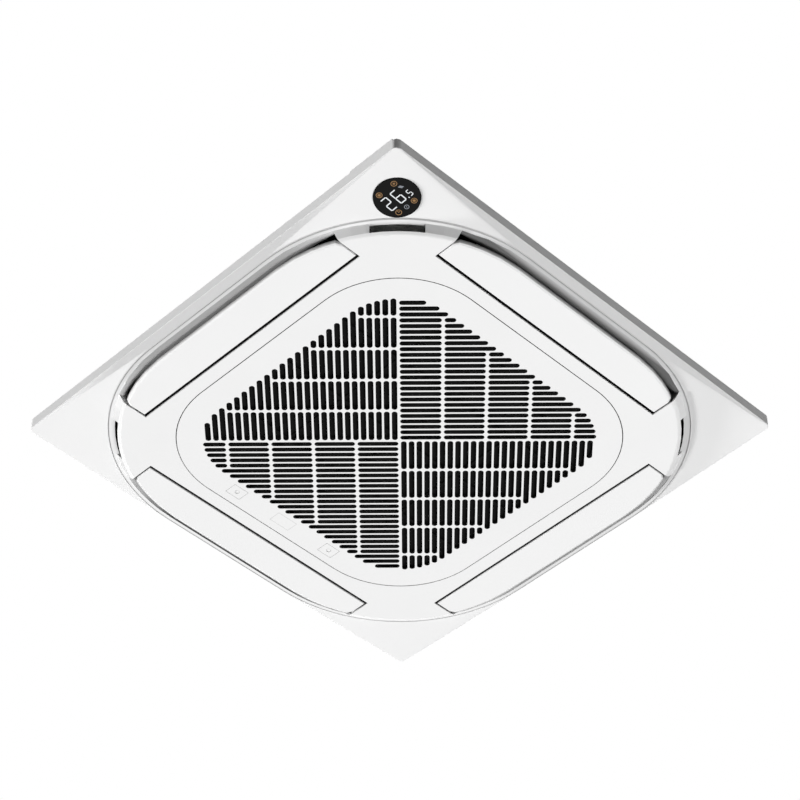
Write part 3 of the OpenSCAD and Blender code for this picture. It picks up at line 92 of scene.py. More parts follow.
class Nodes:
    """A node tree with one way to add a node to it."""

    def __init__(self, tree):
        self.tree = tree

    def add(self, kind, settings, inputs, output=0):
        made = self.tree.nodes.new(kind)
        for name, value in settings.items():
            setattr(made, name, value)
        for name, value in inputs.items():
            self.feed(made.inputs[name], value)
        return Level(self, made.outputs[output])

    def feed(self, socket, value):
        if isinstance(value, Level):
            self.tree.links.new(value.socket, socket)
        else:
            socket.default_value = value

    def mix(self, share, low, high):
        """A colour between two others."""
        return self.add("ShaderNodeMix", {"data_type": "RGBA"}, {0: share, 6: low, 7: high}, 2)

    def dim(self, share, colour):
        """A colour with only a share of its light."""
        return self.mix(share, grey(0.0), colour)

    def split(self, vector):
        """A vector as three values along X, Y and Z."""
        first = self.add("ShaderNodeSeparateXYZ", {}, {"Vector": vector})
        return [Level(self, socket) for socket in first.socket.node.outputs]

    def place(self):
        """Where on the piece a point lies, in metres."""
        return self.add("ShaderNodeTexCoord", {}, {}, "Object")

    def axes(self):
        """The same place as three values along X, Y and Z."""
        return self.split(self.place())

    def facing(self):
        """Which way the surface looks, as three values along X, Y and Z."""
        return self.split(self.add("ShaderNodeTexCoord", {}, {}, "Normal"))


class Finish(Nodes):
    """One material, whose values drive its Principled shader."""

    def __init__(self, name, constants):
        self.material = bpy.data.materials.new(name)
        self.material.use_nodes = True
        super().__init__(self.material.node_tree)
        self.shader = self.tree.nodes["Principled BSDF"]
        for socket, value in constants.items():
            self.shader.inputs[socket].default_value = value

    def drive(self, socket, value):
        self.feed(self.shader.inputs[socket], value)

    def noise(self, size, detail=2.0):
        """A soft cloudy value whose patches have about this size."""
        inputs = {"Vector": self.place(), "Scale": 1 / size, "Detail": detail}
        return self.add("ShaderNodeTexNoise", {}, inputs)

    def cells(self, size, output):
        """Crowded cells: Distance grows from the middle of each, Color is one value a cell."""
        inputs = {"Vector": self.place(), "Scale": 1 / size}
        return self.add("ShaderNodeTexVoronoi", {}, inputs, output)

    def bump(self, height, depth, strength=0.5):
        """Raises the surface by the height times this depth."""
        inputs = {"Height": height, "Distance": depth, "Strength": strength}
        self.relief = self.add("ShaderNodeBump", {}, inputs)
        self.drive("Normal", self.relief)

    def lean(self, normal):
        """Raises the bumps on a surface that looks this way, in place of the true one."""
        self.feed(self.relief.socket.node.inputs["Normal"], normal)


def grey(value):
    return (value, value, value, 1)


def cover(finish, *names):
    """Puts a finish on nodes that come from the frame."""
    for name in names:
        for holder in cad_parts[name].material_slots:
            holder.material = finish.material


zinc = Finish("galvanised_sheet", {"Metallic": 0.85})
zinc_crystals = zinc.add("ShaderNodeSeparateColor", {}, {0: zinc.cells(9 * mm, "Color")})
zinc_haze = zinc.noise(60 * mm, 4.0)
zinc_shade = zinc_crystals * 0.6 + zinc_haze * 0.4
zinc.drive("Base Color", zinc.mix(zinc_shade, (0.50, 0.52, 0.54, 1), (0.70, 0.72, 0.74, 1)))
zinc.drive("Roughness", zinc_crystals * 0.16 + zinc_haze * 0.12 + 0.26)
zinc.bump(zinc_shade, 0.02 * mm, 0.35)
cover(zinc, "casing_wall", "top_plate", "hanger_brackets", "pipe_plate")

steel = Finish("plated_steel", {"Metallic": 1.0})
steel_haze = steel.noise(3 * mm, 3.0)
steel.drive("Base Color", steel.mix(steel_haze, (0.46, 0.46, 0.45, 1), (0.62, 0.61, 0.58, 1)))
steel.drive("Roughness", steel_haze.spread(0.3, 0.7, 0.24, 0.42))
steel.bump(steel_haze, 0.02 * mm, 0.3)
cover(steel, "bracket_screws")


# Casing screws
# Thread-forming screws with a hexagon head on a flange hold the lid all round its edge, and
# the pipe cover plate by its corners. They are cold formed from wire and zinc plated.

flange_r = 4.4 * mm
flange_h = 0.8 * mm
hexagon_r = 3.2 * mm
hexagon_h = 2.1 * mm
head_round = 0.3 * mm
sharp_angle = math.radians(35)


def begin(add, **sizes):
    """Adds a primitive with nothing else selected, and opens it for editing."""
    bpy.ops.object.select_all(action="DESELECT")
    add(**sizes)
    bpy.ops.object.mode_set(mode="EDIT")
    return bpy.context.object


def pick(piece, wanted):
    """Selects the faces that pass a test, and no others."""
    bpy.ops.mesh.select_mode(type="FACE")
    bpy.ops.mesh.select_all(action="DESELECT")
    shape = bmesh.from_edit_mesh(piece.data)
    for face in shape.faces:
        face.select_set(bool(wanted(face)))
    bmesh.update_edit_mesh(piece.data)


def looks_up(face):
    return face.normal.z > 0.9


def end(piece):
    """Closes a piece, puts its place into its mesh and shades it smooth up to sharp edges."""
    bpy.ops.object.mode_set(mode="OBJECT")
    bpy.ops.object.transform_apply()
    bpy.ops.object.shade_smooth_by_angle(angle=sharp_angle)
    return piece


def copies(pattern, places):
    """Copies a piece to each place with a mesh of its own, and joins the copies."""
    made = []
    for place in places:
        twin = pattern.copy()
        twin.data = pattern.data.copy()
        twin.data.transform(place)
        bpy.context.collection.objects.link(twin)
        made.append(twin)
    bpy.data.objects.remove(pattern)
    return joined(made)


def joined(pieces):
    """Makes one piece of several."""
    bpy.ops.object.select_all(action="DESELECT")
    for piece in pieces:
        piece.select_set(True)
    bpy.context.view_layer.objects.active = pieces[0]
    bpy.ops.object.join()
    return pieces[0]


def fit(piece, name, finish, body):
    """Names a piece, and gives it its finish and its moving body."""
    piece.name = name
    piece.data.name = name
    piece.data.materials.clear()
    piece.data.materials.append(finish.material)
    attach(piece, body)


def hex_screw():
    """A flanged hexagon head that stands on the origin."""
    screw = begin(bpy.ops.mesh.primitive_cylinder_add, vertices=24, radius=flange_r,
                  depth=flange_h, location=(0, 0, flange_h / 2))
    pick(screw, looks_up)
    bpy.ops.mesh.inset(thickness=head_round)
    bpy.ops.transform.translate(value=(0, 0, head_round))
    head_top = flange_h + hexagon_h
    bpy.ops.mesh.primitive_cylinder_add(vertices=6, radius=hexagon_r, depth=hexagon_h,
                                        location=(0, 0, head_top - hexagon_h / 2))
    pick(screw, lambda face: face.calc_center_median().z > head_top - head_round)
    bpy.ops.mesh.inset(thickness=head_round)
    bpy.ops.mesh.inset(thickness=head_round)
    bpy.ops.transform.translate(value=(0, 0, -head_round))
    return end(screw)


wall_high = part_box("casing_wall")[1]
lid_sheet = 1.2 * mm
lid_edge = 9 * mm
lid_pitch = 240 * mm
casing_cut = 140 * mm
lid_level = wall_high.z + lid_sheet
lid_reach = wall_high.x - lid_edge
lid_corner_reach = math.sqrt(2) * (wall_high.x - casing_cut / 2) - lid_edge
lid_places = []
for side in range(4):
    to_wall = Matrix.Rotation(side * math.pi / 2, 4, "Z")
    to_corner = Matrix.Rotation((side + 0.5) * math.pi / 2, 4, "Z")
    for step in (-1, 0, 1):
        lid_places.append(to_wall @ Matrix.Translation((lid_reach, step * lid_pitch, lid_level)))
    lid_places.append(to_corner @ Matrix.Translation((lid_corner_reach, 0, lid_level)))
fit(copies(hex_screw(), lid_places), "lid_screws", steel, "unit")

cover_low, cover_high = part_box("pipe_plate")
cover_edge = 7 * mm
head_outwards = Matrix.Rotation(-math.pi / 2, 4, "X")
cover_places = []
for x in (cover_low.x + cover_edge, cover_high.x - cover_edge):
    for z in (cover_low.z + cover_edge, cover_high.z - cover_edge):
        cover_places.append(Matrix.Translation((x, cover_high.y, z)) @ head_outwards)
fit(copies(hex_screw(), cover_places), "pipe_plate_screws", steel, "unit")


# Insulation
# The liner and the drain pan are moulded from beads of expanded polystyrene, fused by steam.
# The float in the sump is a small piece of the same.

def bead_foam(name, pale, dark, bead):
    """Fused foam beads with a faint seam round each."""
    foam = Finish(name, {"Roughness": 0.75, "Specular IOR Level": 0.25})
    seam = foam.cells(bead, "Distance")
    foam.drive("Base Color", foam.mix(seam.spread(0.25, 0.75), pale, dark))
    foam.bump(1 - seam, 0.25 * mm)
    return foam


cover(bead_foam("liner_foam", (0.74, 0.73, 0.69, 1), (0.60, 0.59, 0.56, 1), 4 * mm), "casing_liner")
cover(bead_foam("pan_foam", (0.84, 0.84, 0.82, 1), (0.70, 0.70, 0.69, 1), 3 * mm),
      "drain_pan", "float")


# Fan and motor
# The wheel is one moulding of glass-filled plastic, clamped on a steel shaft by a nut. Its
# motor is a die-cast can on four rubber mounts, and a white bell mouth leads the air in.

def moulding(name, colour, roughness, grain=0.5 * mm, relief=0.012 * mm):
    """Moulded plastic with a fine eroded grain, a little uneven in shade and gloss."""
    plastic = Finish(name, {"IOR": 1.46})
    flow = plastic.noise(90 * mm, 3.0)
    grains = plastic.noise(grain)
    thin_shade = [0.97 * channel for channel in colour]
    plastic.skin = plastic.mix(flow, (*thin_shade, 1), (*colour, 1))
    plastic.drive("Base Color", plastic.skin)
    plastic.drive("Roughness", grains * 0.06 + flow * 0.04 + (roughness - 0.05))
    plastic.bump(grains, relief, 0.4)
    return plastic


pale_plastic = moulding("pale_plastic", (0.76, 0.76, 0.74), 0.42)
cover(moulding("fan_plastic", (0.56, 0.59, 0.61), 0.50, 1.4 * mm, 0.03 * mm), "fan_wheel")
cover(pale_plastic, "bell_mouth")
cover(steel, "fan_nut", "motor_shaft")

cast = Finish("cast_aluminium", {"Metallic": 0.9})
cast_grain = cast.noise(0.7 * mm, 4.0)
cast.drive("Base Color", cast.mix(cast_grain, grey(0.30), grey(0.46)))
cast.drive("Roughness", cast_grain.spread(0.3, 0.7, 0.40, 0.58))
cast.bump(cast_grain, 0.08 * mm)
cover(cast, "fan_motor")

rubber = Finish("rubber", {"Roughness": 0.7, "Specular IOR Level": 0.3})
rubber_bloom = rubber.noise(5 * mm, 4.0)
rubber.drive("Base Color", rubber.mix(rubber_bloom, grey(0.012), grey(0.035)))
rubber.bump(rubber.noise(0.6 * mm), 0.03 * mm)
cover(rubber, "motor_mounts")

mouth_low, mouth_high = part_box("bell_mouth")
mouth_screw_count = 8
mouth_screw_inset = 9 * mm
head_down = Matrix.Rotation(math.pi, 4, "X")
mouth_places = []
for number in range(mouth_screw_count):
    about = Matrix.Rotation((number + 0.5) * 2 * math.pi / mouth_screw_count, 4, "Z")
    out = Matrix.Translation((mouth_high.x - mouth_screw_inset, 0, mouth_low.z))
    mouth_places.append(about @ out @ head_down)
fit(copies(hex_screw(), mouth_places), "bell_mouth_screws", steel, "unit")


# Heat exchanger
# Thin aluminium fins are stacked on copper tubes and bent round three corners. Copper headers
# and pipes are brazed to them, and brass flare unions take the pipework of the room.

fin_pitch = 1.8 * mm
tube_pitch = 21 * mm
coil_bend_r = 60 * mm
coil_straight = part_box("coil_fins")[1].x - coil_bend_r

fins = Finish("aluminium_fins", {"Metallic": 0.75})
fin_x, fin_y, fin_z = fins.axes()
past_x = abs(fin_x) - coil_straight
past_y = abs(fin_y) - coil_straight
in_bend = (past_x > 0) * (past_y > 0)
on_x_side = past_x > past_y
along_bend = past_y.maths("ARCTAN2", past_x) * coil_bend_r
along_straight = on_x_side * fin_y + (1 - on_x_side) * fin_x
fin_edges = (in_bend * along_bend + (1 - in_bend) * along_straight).wave(fin_pitch)
tube_rows = fin_z.wave(tube_pitch)
fin_dust = fins.noise(25 * mm, 4.0)
# The dark lines between the fins are painted shade; the slow haze is dust.
fin_light = fin_edges * 0.6 + tube_rows * 0.1 + fin_dust * 0.3
fins.drive("Base Color", fins.mix(fin_light, (0.10, 0.11, 0.11, 1), (0.74, 0.76, 0.78, 1)))
fins.drive("Roughness", fin_dust.spread(0.3, 0.7, 0.34, 0.5))
fins.bump(fin_edges, 0.5 * mm, 0.8)
cover(fins, "coil_fins")
cover(zinc, "coil_end_plates")

copper = Finish("copper_tube", {"Metallic": 1.0})
copper_tarnish = copper.noise(14 * mm, 5.0)
copper.drive("Base Color", copper.mix(copper_tarnish.spread(0.35, 0.7), (0.80, 0.42, 0.27, 1),
                                      (0.46, 0.22, 0.13, 1)))
copper.drive("Roughness", copper_tarnish.spread(0.3, 0.7, 0.22, 0.45))
copper.bump(copper_tarnish, 0.05 * mm, 0.3)
cover(copper, "return_bends", "gas_header", "liquid_header", "gas_pipe", "liquid_pipe")

brass = Finish("turned_brass", {"Metallic": 1.0})
tool_marks = brass.axes()[1].wave(0.35 * mm)
brass_haze = brass.noise(6 * mm, 4.0)
brass.drive("Base Color", brass.mix(brass_haze, (0.72, 0.52, 0.22, 1), (0.86, 0.68, 0.36, 1)))
brass.drive("Roughness", brass_haze * 0.16 + tool_marks * 0.06 + 0.18)
brass.bump(tool_marks, 0.02 * mm, 0.4)
cover(brass, "flare_unions")


# Drain
# A small pump lifts the water from the sump of the pan through a clear vinyl hose, braced by
# ribs, to the spigot in the casing wall. A float on a stem stops the unit before the pan is full.

hose = Finish("vinyl_hose", {"Roughness": 0.25, "IOR": 1.5, "Transmission Weight": 0.35})
hose_x, _, hose_z = hose.axes()
hose_ribs = (hose_z + hose_x).wave(3.2 * mm)
hose_cloud = hose.noise(12 * mm, 3.0)
hose_shade = hose_ribs * 0.5 + hose_cloud * 0.5
hose.drive("Base Color", hose.mix(hose_shade, (0.62, 0.66, 0.66, 1), (0.86, 0.89, 0.88, 1)))
hose.bump(hose_ribs, 0.4 * mm, 0.6)
cover(hose, "drain_hose")

grey_plastic = moulding("grey_plastic", (0.32, 0.33, 0.34), 0.45)
cover(pale_plastic, "drain_pump", "drain_spigot")
cover(grey_plastic, "float_stem", "pump_impeller")


# Controls
# The control box hangs in the intake as folded zinc sheet with a lid on two screws. It holds
# a fibreglass circuit board under green varnish, and a terminal block for the mains.

cover(zinc, "control_box", "control_box_lid")
cover(pale_plastic, "terminal_block")

board_t = 1.8 * mm
board_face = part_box("control_board")[1].z - board_t
track_pitch = 2.5 * mm
board = Finish("circuit_board", {"IOR": 1.5})
_, board_y, board_z = board.axes()
track_wander = board.noise(16 * mm, 1.0)
tracks = (board_y + track_wander * 0.04).wave(track_pitch) > 0.72
varnish = board.mix(tracks, (0.010, 0.085, 0.035, 1), (0.030, 0.190, 0.080, 1))
part_tones = board.add("ShaderNodeSeparateColor", {}, {0: board.cells(14 * mm, "Color")})
part_shades = board.mix(part_tones > 0.6, grey(0.02), (0.55, 0.56, 0.52, 1))
board.drive("Base Color", board.mix(board_z < board_face, varnish, part_shades))
board.drive("Roughness", track_wander.spread(0.3, 0.7, 0.25, 0.42))
board.bump(tracks, 0.05 * mm)
cover(board, "control_board", "display_board")

box_lid_low, box_lid_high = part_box("control_box_lid")
box_screw_inset = 12 * mm
box_lid_middle = (box_lid_low.x + box_lid_high.x) / 2
box_places = []
for y in (box_lid_low.y + box_screw_inset, box_lid_high.y - box_screw_inset):
    box_places.append(Matrix.Translation((box_lid_middle, y, box_lid_low.z)) @ head_down)
fit(copies(hex_screw(), box_places), "control_lid_screws", steel, "unit")


# Outlets
# The outlet frame is a white moulding on four long screws. It carries the bearings of the vanes,
# nozzle trays in its corner windows and four foam ducts. Soft foam strips seal it. Its walls and
# its seam carry painted shade, set by side. The ducts carry painted light at their mouths, set
# by side, that fades into painted shade deeper in.

soft_foam = Finish("open_cell_foam", {"Roughness": 0.95, "Specular IOR Level": 0.1})
foam_pores = soft_foam.noise(0.8 * mm, 5.0)
soft_foam.drive("Base Color", soft_foam.mix(foam_pores.spread(0.35, 0.65), grey(0.02), grey(0.06)))
soft_foam.bump(foam_pores, 0.3 * mm, 0.8)
cover(soft_foam, "duct_gaskets", "ceiling_seal")

white = 0.87
white_plastic = moulding("white_plastic", (white, white, white), 0.38)
cover(steel, "panel_screws")

ridge_straight = 147 * mm
ridge_r = 319 * mm
frame_seam_inset = 2.5 * mm
frame_seam_soft = 2.5 * mm
seam_shade = 0.72
side_shade = 0.80
left_shade = 0.66
full_left = -1.0
no_left = -0.4
lip_start = 425 * mm
lip_end = 452 * mm


def ridge_inset(finish):
    """How far a point lies inside the round-cornered ridge where the panel is deepest."""
    past_ends = [(abs(axis) - ridge_straight).maths("MAXIMUM", 0) for axis in finish.axes()[:2]]
    reach = (past_ends[0] * past_ends[0] + past_ends[1] * past_ends[1]).maths("SQRT")
    return ridge_r - reach


frame_plastic = moulding("frame_plastic", (white, white, white), 0.38)
frame_facing = frame_plastic.facing()
frame_seam = ridge_inset(frame_plastic)
# Painted shade: darker at the lip on the -Y side, on walls that look to -X and -Y, and along the
# seam with the surround.
side_painted_shade = (frame_plastic.axes()[1] * -1).spread(lip_start, lip_end, 1, side_shade)
left_painted_shade = (frame_facing[0] + frame_facing[1]).spread(full_left, no_left, left_shade, 1)
seam_painted_shade = frame_seam.spread(frame_seam_inset, frame_seam_inset + frame_seam_soft, seam_shade, 1)
frame_skin = frame_plastic.dim(side_painted_shade * left_painted_shade * seam_painted_shade, frame_plastic.skin)
frame_plastic.drive("Base Color", frame_skin)
cover(frame_plastic, "outlet_frame")

face_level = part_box("outlet_frame")[0].z
outer_wall = 385 * mm
outer_wall_soft = 10 * mm
mouth_end = 456 * mm
x_mouth_start = 446 * mm
y_mouth_start = 441 * mm
far_middle = 150 * mm
far_end = 260 * mm
depth_shade_start = 17 * mm
depth_shade_end = 27 * mm
drift_depth = 1.5 * mm
near_tones = (0.20, 0.74)
far_tones = (0.06, 0.60)
y_tones = (0.60, 0.40)
deep_shade_tone = 0.012

duct_foam = Finish("duct_foam", {"Roughness": 0.8, "Specular IOR Level": 0.1})
duct_x, duct_y, duct_z = duct_foam.axes()
out_x = abs(duct_x)
out_y = abs(duct_y)
on_x_duct = out_x > out_y
on_far_duct = duct_x < 0
# Painted light and shade: the outer duct walls are light at their mouths and fade to near black
# deeper in, with a different light on each side.
near_painted_light = out_x.spread(x_mouth_start, mouth_end, *near_tones)
far_painted_light = out_y.spread(far_middle, far_end, *far_tones)
x_painted_light = on_far_duct * far_painted_light + (1 - on_far_duct) * near_painted_light
y_painted_light = out_y.spread(y_mouth_start, mouth_end, *y_tones)
mouth_painted_light = on_x_duct * x_painted_light + (1 - on_x_duct) * y_painted_light
light_edge_wander = duct_foam.noise(6 * mm, 3.0) * drift_depth
depth_light = (duct_z + light_edge_wander).spread(face_level + depth_shade_start, face_level + depth_shade_end, 1, 0)
on_outer_wall = out_x.maths("MAXIMUM", out_y).spread(outer_wall, outer_wall + outer_wall_soft)
duct_tone = mouth_painted_light * depth_light * on_outer_wall + deep_shade_tone
duct_foam.drive("Base Color", duct_foam.dim(duct_tone, grey(1.0)))
duct_foam.bump(1 - duct_foam.cells(3 * mm, "Distance"), 0.15 * mm)
cover(duct_foam, "outlet_ducts")

nozzle_plastic = Finish("nozzle_plastic", {"Roughness": 0.7, "Specular IOR Level": 0.1})
nozzle_cloud = nozzle_plastic.noise(5 * mm, 3.0)
nozzle_plastic.drive("Base Color", nozzle_plastic.mix(nozzle_cloud, grey(0.012), grey(0.024)))
nozzle_plastic.bump(nozzle_cloud, 0.02 * mm)
cover(nozzle_plastic, "corner_nozzles")


# Vanes
# Four hollow white vanes swing on their end pins in acetal bushes. Their backs are flocked
# against dew, and a small geared motor in a zinc-plated can turns each one.

def vane_finish(name, flock_start, flock_end):
    """White plastic that turns into black flock and painted shade between two heights above its
    face.
    """
    vane = Finish(name, {"IOR": 1.46})
    flock = vane.axes()[2].spread(face_level + flock_start, face_level + flock_end)
    flow = vane.noise(90 * mm, 3.0)
    fluff = vane.noise(0.7 * mm, 4.0)
    face = vane.mix(flow, grey(0.86), grey(0.88))
    vane.drive("Base Color", vane.mix(flock, face, grey(0.03)))
    vane.drive("Roughness", flock * 0.5 + flow * 0.06 + 0.34)
    vane.bump(fluff * (flock * 0.9 + 0.05), 0.2 * mm)
    return vane


# The black flock is real; its heights, different for the two pairs of vanes, are painted shade.
cover(vane_finish("vane_low_flock_and_shade", 0, 2.5 * mm), "vane_left", "vane_rear")
cover(vane_finish("vane_high_flock_and_shade", 2.2 * mm, 8.8 * mm), "vane_right", "vane_front")
cover(pale_plastic, "vane_bushes")
cover(steel, "vane_motors")


# Intake grille
# The grille is a white moulding that swings down on two curved steel hooks. It carries a
# washable filter net in a dark frame, two push latches and a blank cover over the screws.

grille_t = 2.5 * mm
grille_edge = 0.1 * mm
border_w = 0.9 * mm
latch_pieces = ("latch_button_a", "latch_button_b", "screw_cover")


def border(axis_x, axis_y, name):
    """1 on the border of a piece's outline."""
    low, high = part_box(name)
    middle = (low + high) / 2
    half = (high - low) / 2
    past_x = abs(axis_x - middle.x) - half.x
    past_y = abs(axis_y - middle.y) - half.y
    past = past_x.maths("MAXIMUM", past_y)
    return (past > -border_w) * (past < 0)


grille_plastic = moulding("grille_plastic", (white, white, white), 0.38)
grille_x, grille_y, grille_z = grille_plastic.axes()
above_face = grille_z > face_level + grille_edge
below_back = grille_z < face_level + grille_t - grille_edge
on_wall = abs(grille_plastic.facing()[2]) < 0.5
# Painted shade: the slot walls are near black, and a grey line runs round the latches and the screw
# cover.
in_slots = above_face * below_back * on_wall
on_border = sum(border(grille_x, grille_y, name) for name in latch_pieces)
gap_shaded_skin = grille_plastic.mix(on_border, grille_plastic.skin, grey(0.60))
grille_plastic.drive("Base Color", grille_plastic.mix(in_slots, gap_shaded_skin, grey(0.01)))
cover(grille_plastic, "intake_grille", *latch_pieces)
cover(pale_plastic, "latch_housings")
cover(steel, "hinge_hooks")

dark_plastic = Finish("dark_plastic", {"Roughness": 0.75, "Specular IOR Level": 0.05})
dark_cloud = dark_plastic.noise(12 * mm, 3.0)
dark_plastic.drive("Base Color", dark_plastic.mix(dark_cloud, grey(0.004), grey(0.010)))
dark_plastic.bump(dark_cloud, 0.02 * mm)
# On the filter frame, this near black is partly painted shade, for the dark behind the slots.
cover(dark_plastic, "filter_frame")

net_pitch = 1.6 * mm
# The net's near black is partly painted shade, for the dark behind the slots.
net = Finish("filter_net", {"Roughness": 0.8, "Specular IOR Level": 0.05})
net_x, net_y, _ = net.axes()
threads = net_x.wave(net_pitch).maths("MAXIMUM", net_y.wave(net_pitch))
net_dust = net.noise(40 * mm, 4.0)
net.drive("Base Color", net.mix(net_dust, grey(0.004), grey(0.010)))
net.drive("Alpha", threads > 0.2)
net.bump(threads, 0.2 * mm)
cover(net, "filter_mesh")


# Latch marks
# Each push latch has a round dimple that shows where to press. A fine raised ring in it is
# moulded with the button.

dimple_depth = 0.6 * mm
mark_r = 3.6 * mm
mark_width = 0.5 * mm
mark_h = 0.4 * mm


def flat_ring(radius, width, height):
    """A flat ring that stands on the origin."""
    ring = begin(bpy.ops.mesh.primitive_circle_add, vertices=64, radius=radius, fill_type="NGON")
    bpy.ops.mesh.select_all(action="SELECT")
    bpy.ops.mesh.inset(thickness=width)
    bpy.ops.mesh.delete(type="FACE")
    bpy.ops.mesh.select_all(action="SELECT")
    bpy.ops.mesh.extrude_region_move(TRANSFORM_OT_translate={"value": (0, 0, height)})
    bpy.ops.mesh.select_all(action="SELECT")
    bpy.ops.mesh.normals_make_consistent(inside=False)
    return end(ring)


for letter in ("a", "b"):
    button_low, button_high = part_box("latch_button_" + letter)
    middle = (button_low + button_high) / 2
    dimple_floor = Vector((middle.x, middle.y, button_low.z + dimple_depth))
    mark_place = Matrix.Translation(dimple_floor) @ head_down
    mark = copies(flat_ring(mark_r, mark_width, mark_h), [mark_place])
    fit(mark, "latch_mark_" + letter, white_plastic, "latch_" + letter)


# Surround
# The sloping surround is one large white moulding, seated round the lip of the outlet frame,
# with an upright rim that meets the ceiling. Its steep slopes are lit as if they were flatter, and
# painted shade darkens it along its seam with the outlet frame.

slope_limit = -0.2
slope_share = 0.2
corner_share = 0.45
corner_start = 230 * mm
corner_end = 400 * mm
seam_start = -0.5 * mm
seam_end = 1.6 * mm

surround_plastic = moulding("surround_plastic", (white, white, white), 0.38)
surround_x, surround_y, _ = surround_plastic.axes()
facing_x, facing_y, facing_z = surround_plastic.facing()
along_side = abs(surround_x).maths("MINIMUM", abs(surround_y))
y_share = along_side.spread(corner_start, corner_end, slope_share, corner_share)
on_slope = facing_z < slope_limit
lean_x = facing_x * (1 - on_slope * (1 - slope_share))
lean_y = facing_y * (1 - on_slope * (1 - y_share))
flatter = surround_plastic.add("ShaderNodeCombineXYZ", {}, {0: lean_x, 1: lean_y, 2: facing_z})
surround_plastic.lean(
    surround_plastic.add("ShaderNodeVectorMath", {"operation": "NORMALIZE"}, {0: flatter}))
# Painted shade along the seam with the outlet frame.
surround_seam_painted_shade = ridge_inset(surround_plastic).spread(seam_start, seam_end, 1, seam_shade)
surround_plastic.drive("Base Color", surround_plastic.dim(surround_seam_painted_shade, surround_plastic.skin))
cover(surround_plastic, "panel_surround")


# Display
# A black acrylic lens lies in a black ring in one corner of the surround. Light-emitting diodes
# shine through it as a set temperature, four amber signs in rings and two small grey signs.

cover(dark_plastic, "display_bezel")

lens = Finish("smoked_acrylic", {"IOR": 1.30, "Specular IOR Level": 0.25})
lens_haze = lens.noise(30 * mm)
lens.drive("Base Color", lens.mix(lens_haze, grey(0.003), grey(0.006)))
lens.drive("Roughness", lens_haze.spread(0.3, 0.7, 0.10, 0.16))
cover(lens, "display_lens")


def lamp_finish(name, colour):
    """Light behind the lens, a little brighter here than there."""
    glow = Finish(name, {"Base Color": grey(0.02), "Emission Strength": 1.0})
    patch = glow.noise(6 * mm)
    dimmer = [0.85 * channel for channel in colour]
    glow.drive("Emission Color", glow.mix(patch, (*dimmer, 1), (*colour, 1)))
    glow.drive("Roughness", patch.spread(0.3, 0.7, 0.3, 0.4))
    return glow


white_light = lamp_finish("white_light", (0.84, 0.87, 0.90))
amber_light = lamp_finish("amber_light", (0.33, 0.16, 0.035))
grey_light = lamp_finish("grey_light", (0.26, 0.28, 0.32))

lens_low, lens_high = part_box("display_lens")
lens_half_t = 1.2 * mm
sign_h = 0.06 * mm
lens_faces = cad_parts["display_lens"].data.polygons
sign_rise = max(lens_faces, key=lambda face: -face.area * face.normal.z).normal.copy()
sign_read = (Vector((1, 0, 0)) - sign_rise * sign_rise.x).normalized()
sign_up = sign_rise.cross(sign_read)
sign_origin = (lens_low + lens_high) / 2 + sign_rise * lens_half_t
lens_turn = Matrix((sign_read, sign_up, sign_rise)).transposed().to_4x4()
lens_place = Matrix.Translation(sign_origin) @ lens_turn


def bar(length, width):
    """A flat light bar with pointed ends that lies along Y on the origin."""
    radius = width / math.sqrt(3)
    piece = begin(bpy.ops.mesh.primitive_cylinder_add, vertices=6, radius=radius,
                  depth=sign_h, location=(0, 0, sign_h / 2))
    for way in (-1, 1):
        pick(piece, lambda face: way * face.calc_center_median().y > radius / 4)
        bpy.ops.transform.translate(value=(0, way * (length / 2 - radius), 0))
    return end(piece)


def flat_place(x, y, turn=0.0):
    """A place on the lens, and a turn in its plane."""
    return Matrix.Translation((x, y, 0)) @ Matrix.Rotation(turn, 4, "Z")


def on_lens(x, y):
    """A point on the lens, from its middle, in millimetres."""
    return Vector((x, y, 0)) * mm


level_segments = {"a": 1, "g": 0, "d": -1}
upright_segments = {"f": (-1, 1), "b": (1, 1), "e": (-1, -1), "c": (1, -1)}


def digit(segments, middle, width, height, stroke):
    """A seven-segment digit; its segments have their usual letters."""
    gap = stroke / 5
    across = width - stroke
    down = (height - stroke) / 2
    levels = [flat_place(middle.x, middle.y + level_segments[letter] * down, math.pi / 2)
              for letter in segments if letter in level_segments]
    uprights = []
    for letter in segments:
        if letter in upright_segments:
            way_x, way_y = upright_segments[letter]
            uprights.append(flat_place(middle.x + way_x * across / 2, middle.y + way_y * down / 2))
    return joined([copies(bar(across - gap, stroke), levels),
                   copies(bar(down - gap, stroke), uprights)])


def star(middle, spokes, length, width):
    """Crossed bars, each through the middle."""
    turns = [flat_place(middle.x, middle.y, number * math.pi / spokes) for number in range(spokes)]
    return copies(bar(length, width), turns)


def dot(middle, radius):
    """A round point of light."""
    point = begin(bpy.ops.mesh.primitive_cylinder_add, vertices=24, radius=radius, depth=sign_h,
                  location=(middle.x, middle.y, sign_h / 2))
    pick(point, looks_up)
    bpy.ops.mesh.inset(thickness=radius / 5)
    return end(point)


def light(parts, name, finish):
    """Joins signs of one colour and lays them on the lens."""
    sign = joined(parts)
    sign.data.transform(lens_place)
    fit(sign, name, finish, "unit")


digit_w = 14 * mm
digit_h = 29 * mm
digit_stroke = 2.1 * mm
small_digit_w = 7 * mm
small_digit_h = 14 * mm
small_digit_stroke = 1.5 * mm
point_r = 1.2 * mm
light([digit("abged", on_lens(-18.8, 0.8), digit_w, digit_h, digit_stroke),
       digit("afgedc", on_lens(3.0, 0.6), digit_w, digit_h, digit_stroke),
       dot(on_lens(14.8, -13.6), point_r),
       digit("afgcd", on_lens(22.0, -7.2), small_digit_w, small_digit_h, small_digit_stroke)],
      "temperature_digits", white_light)

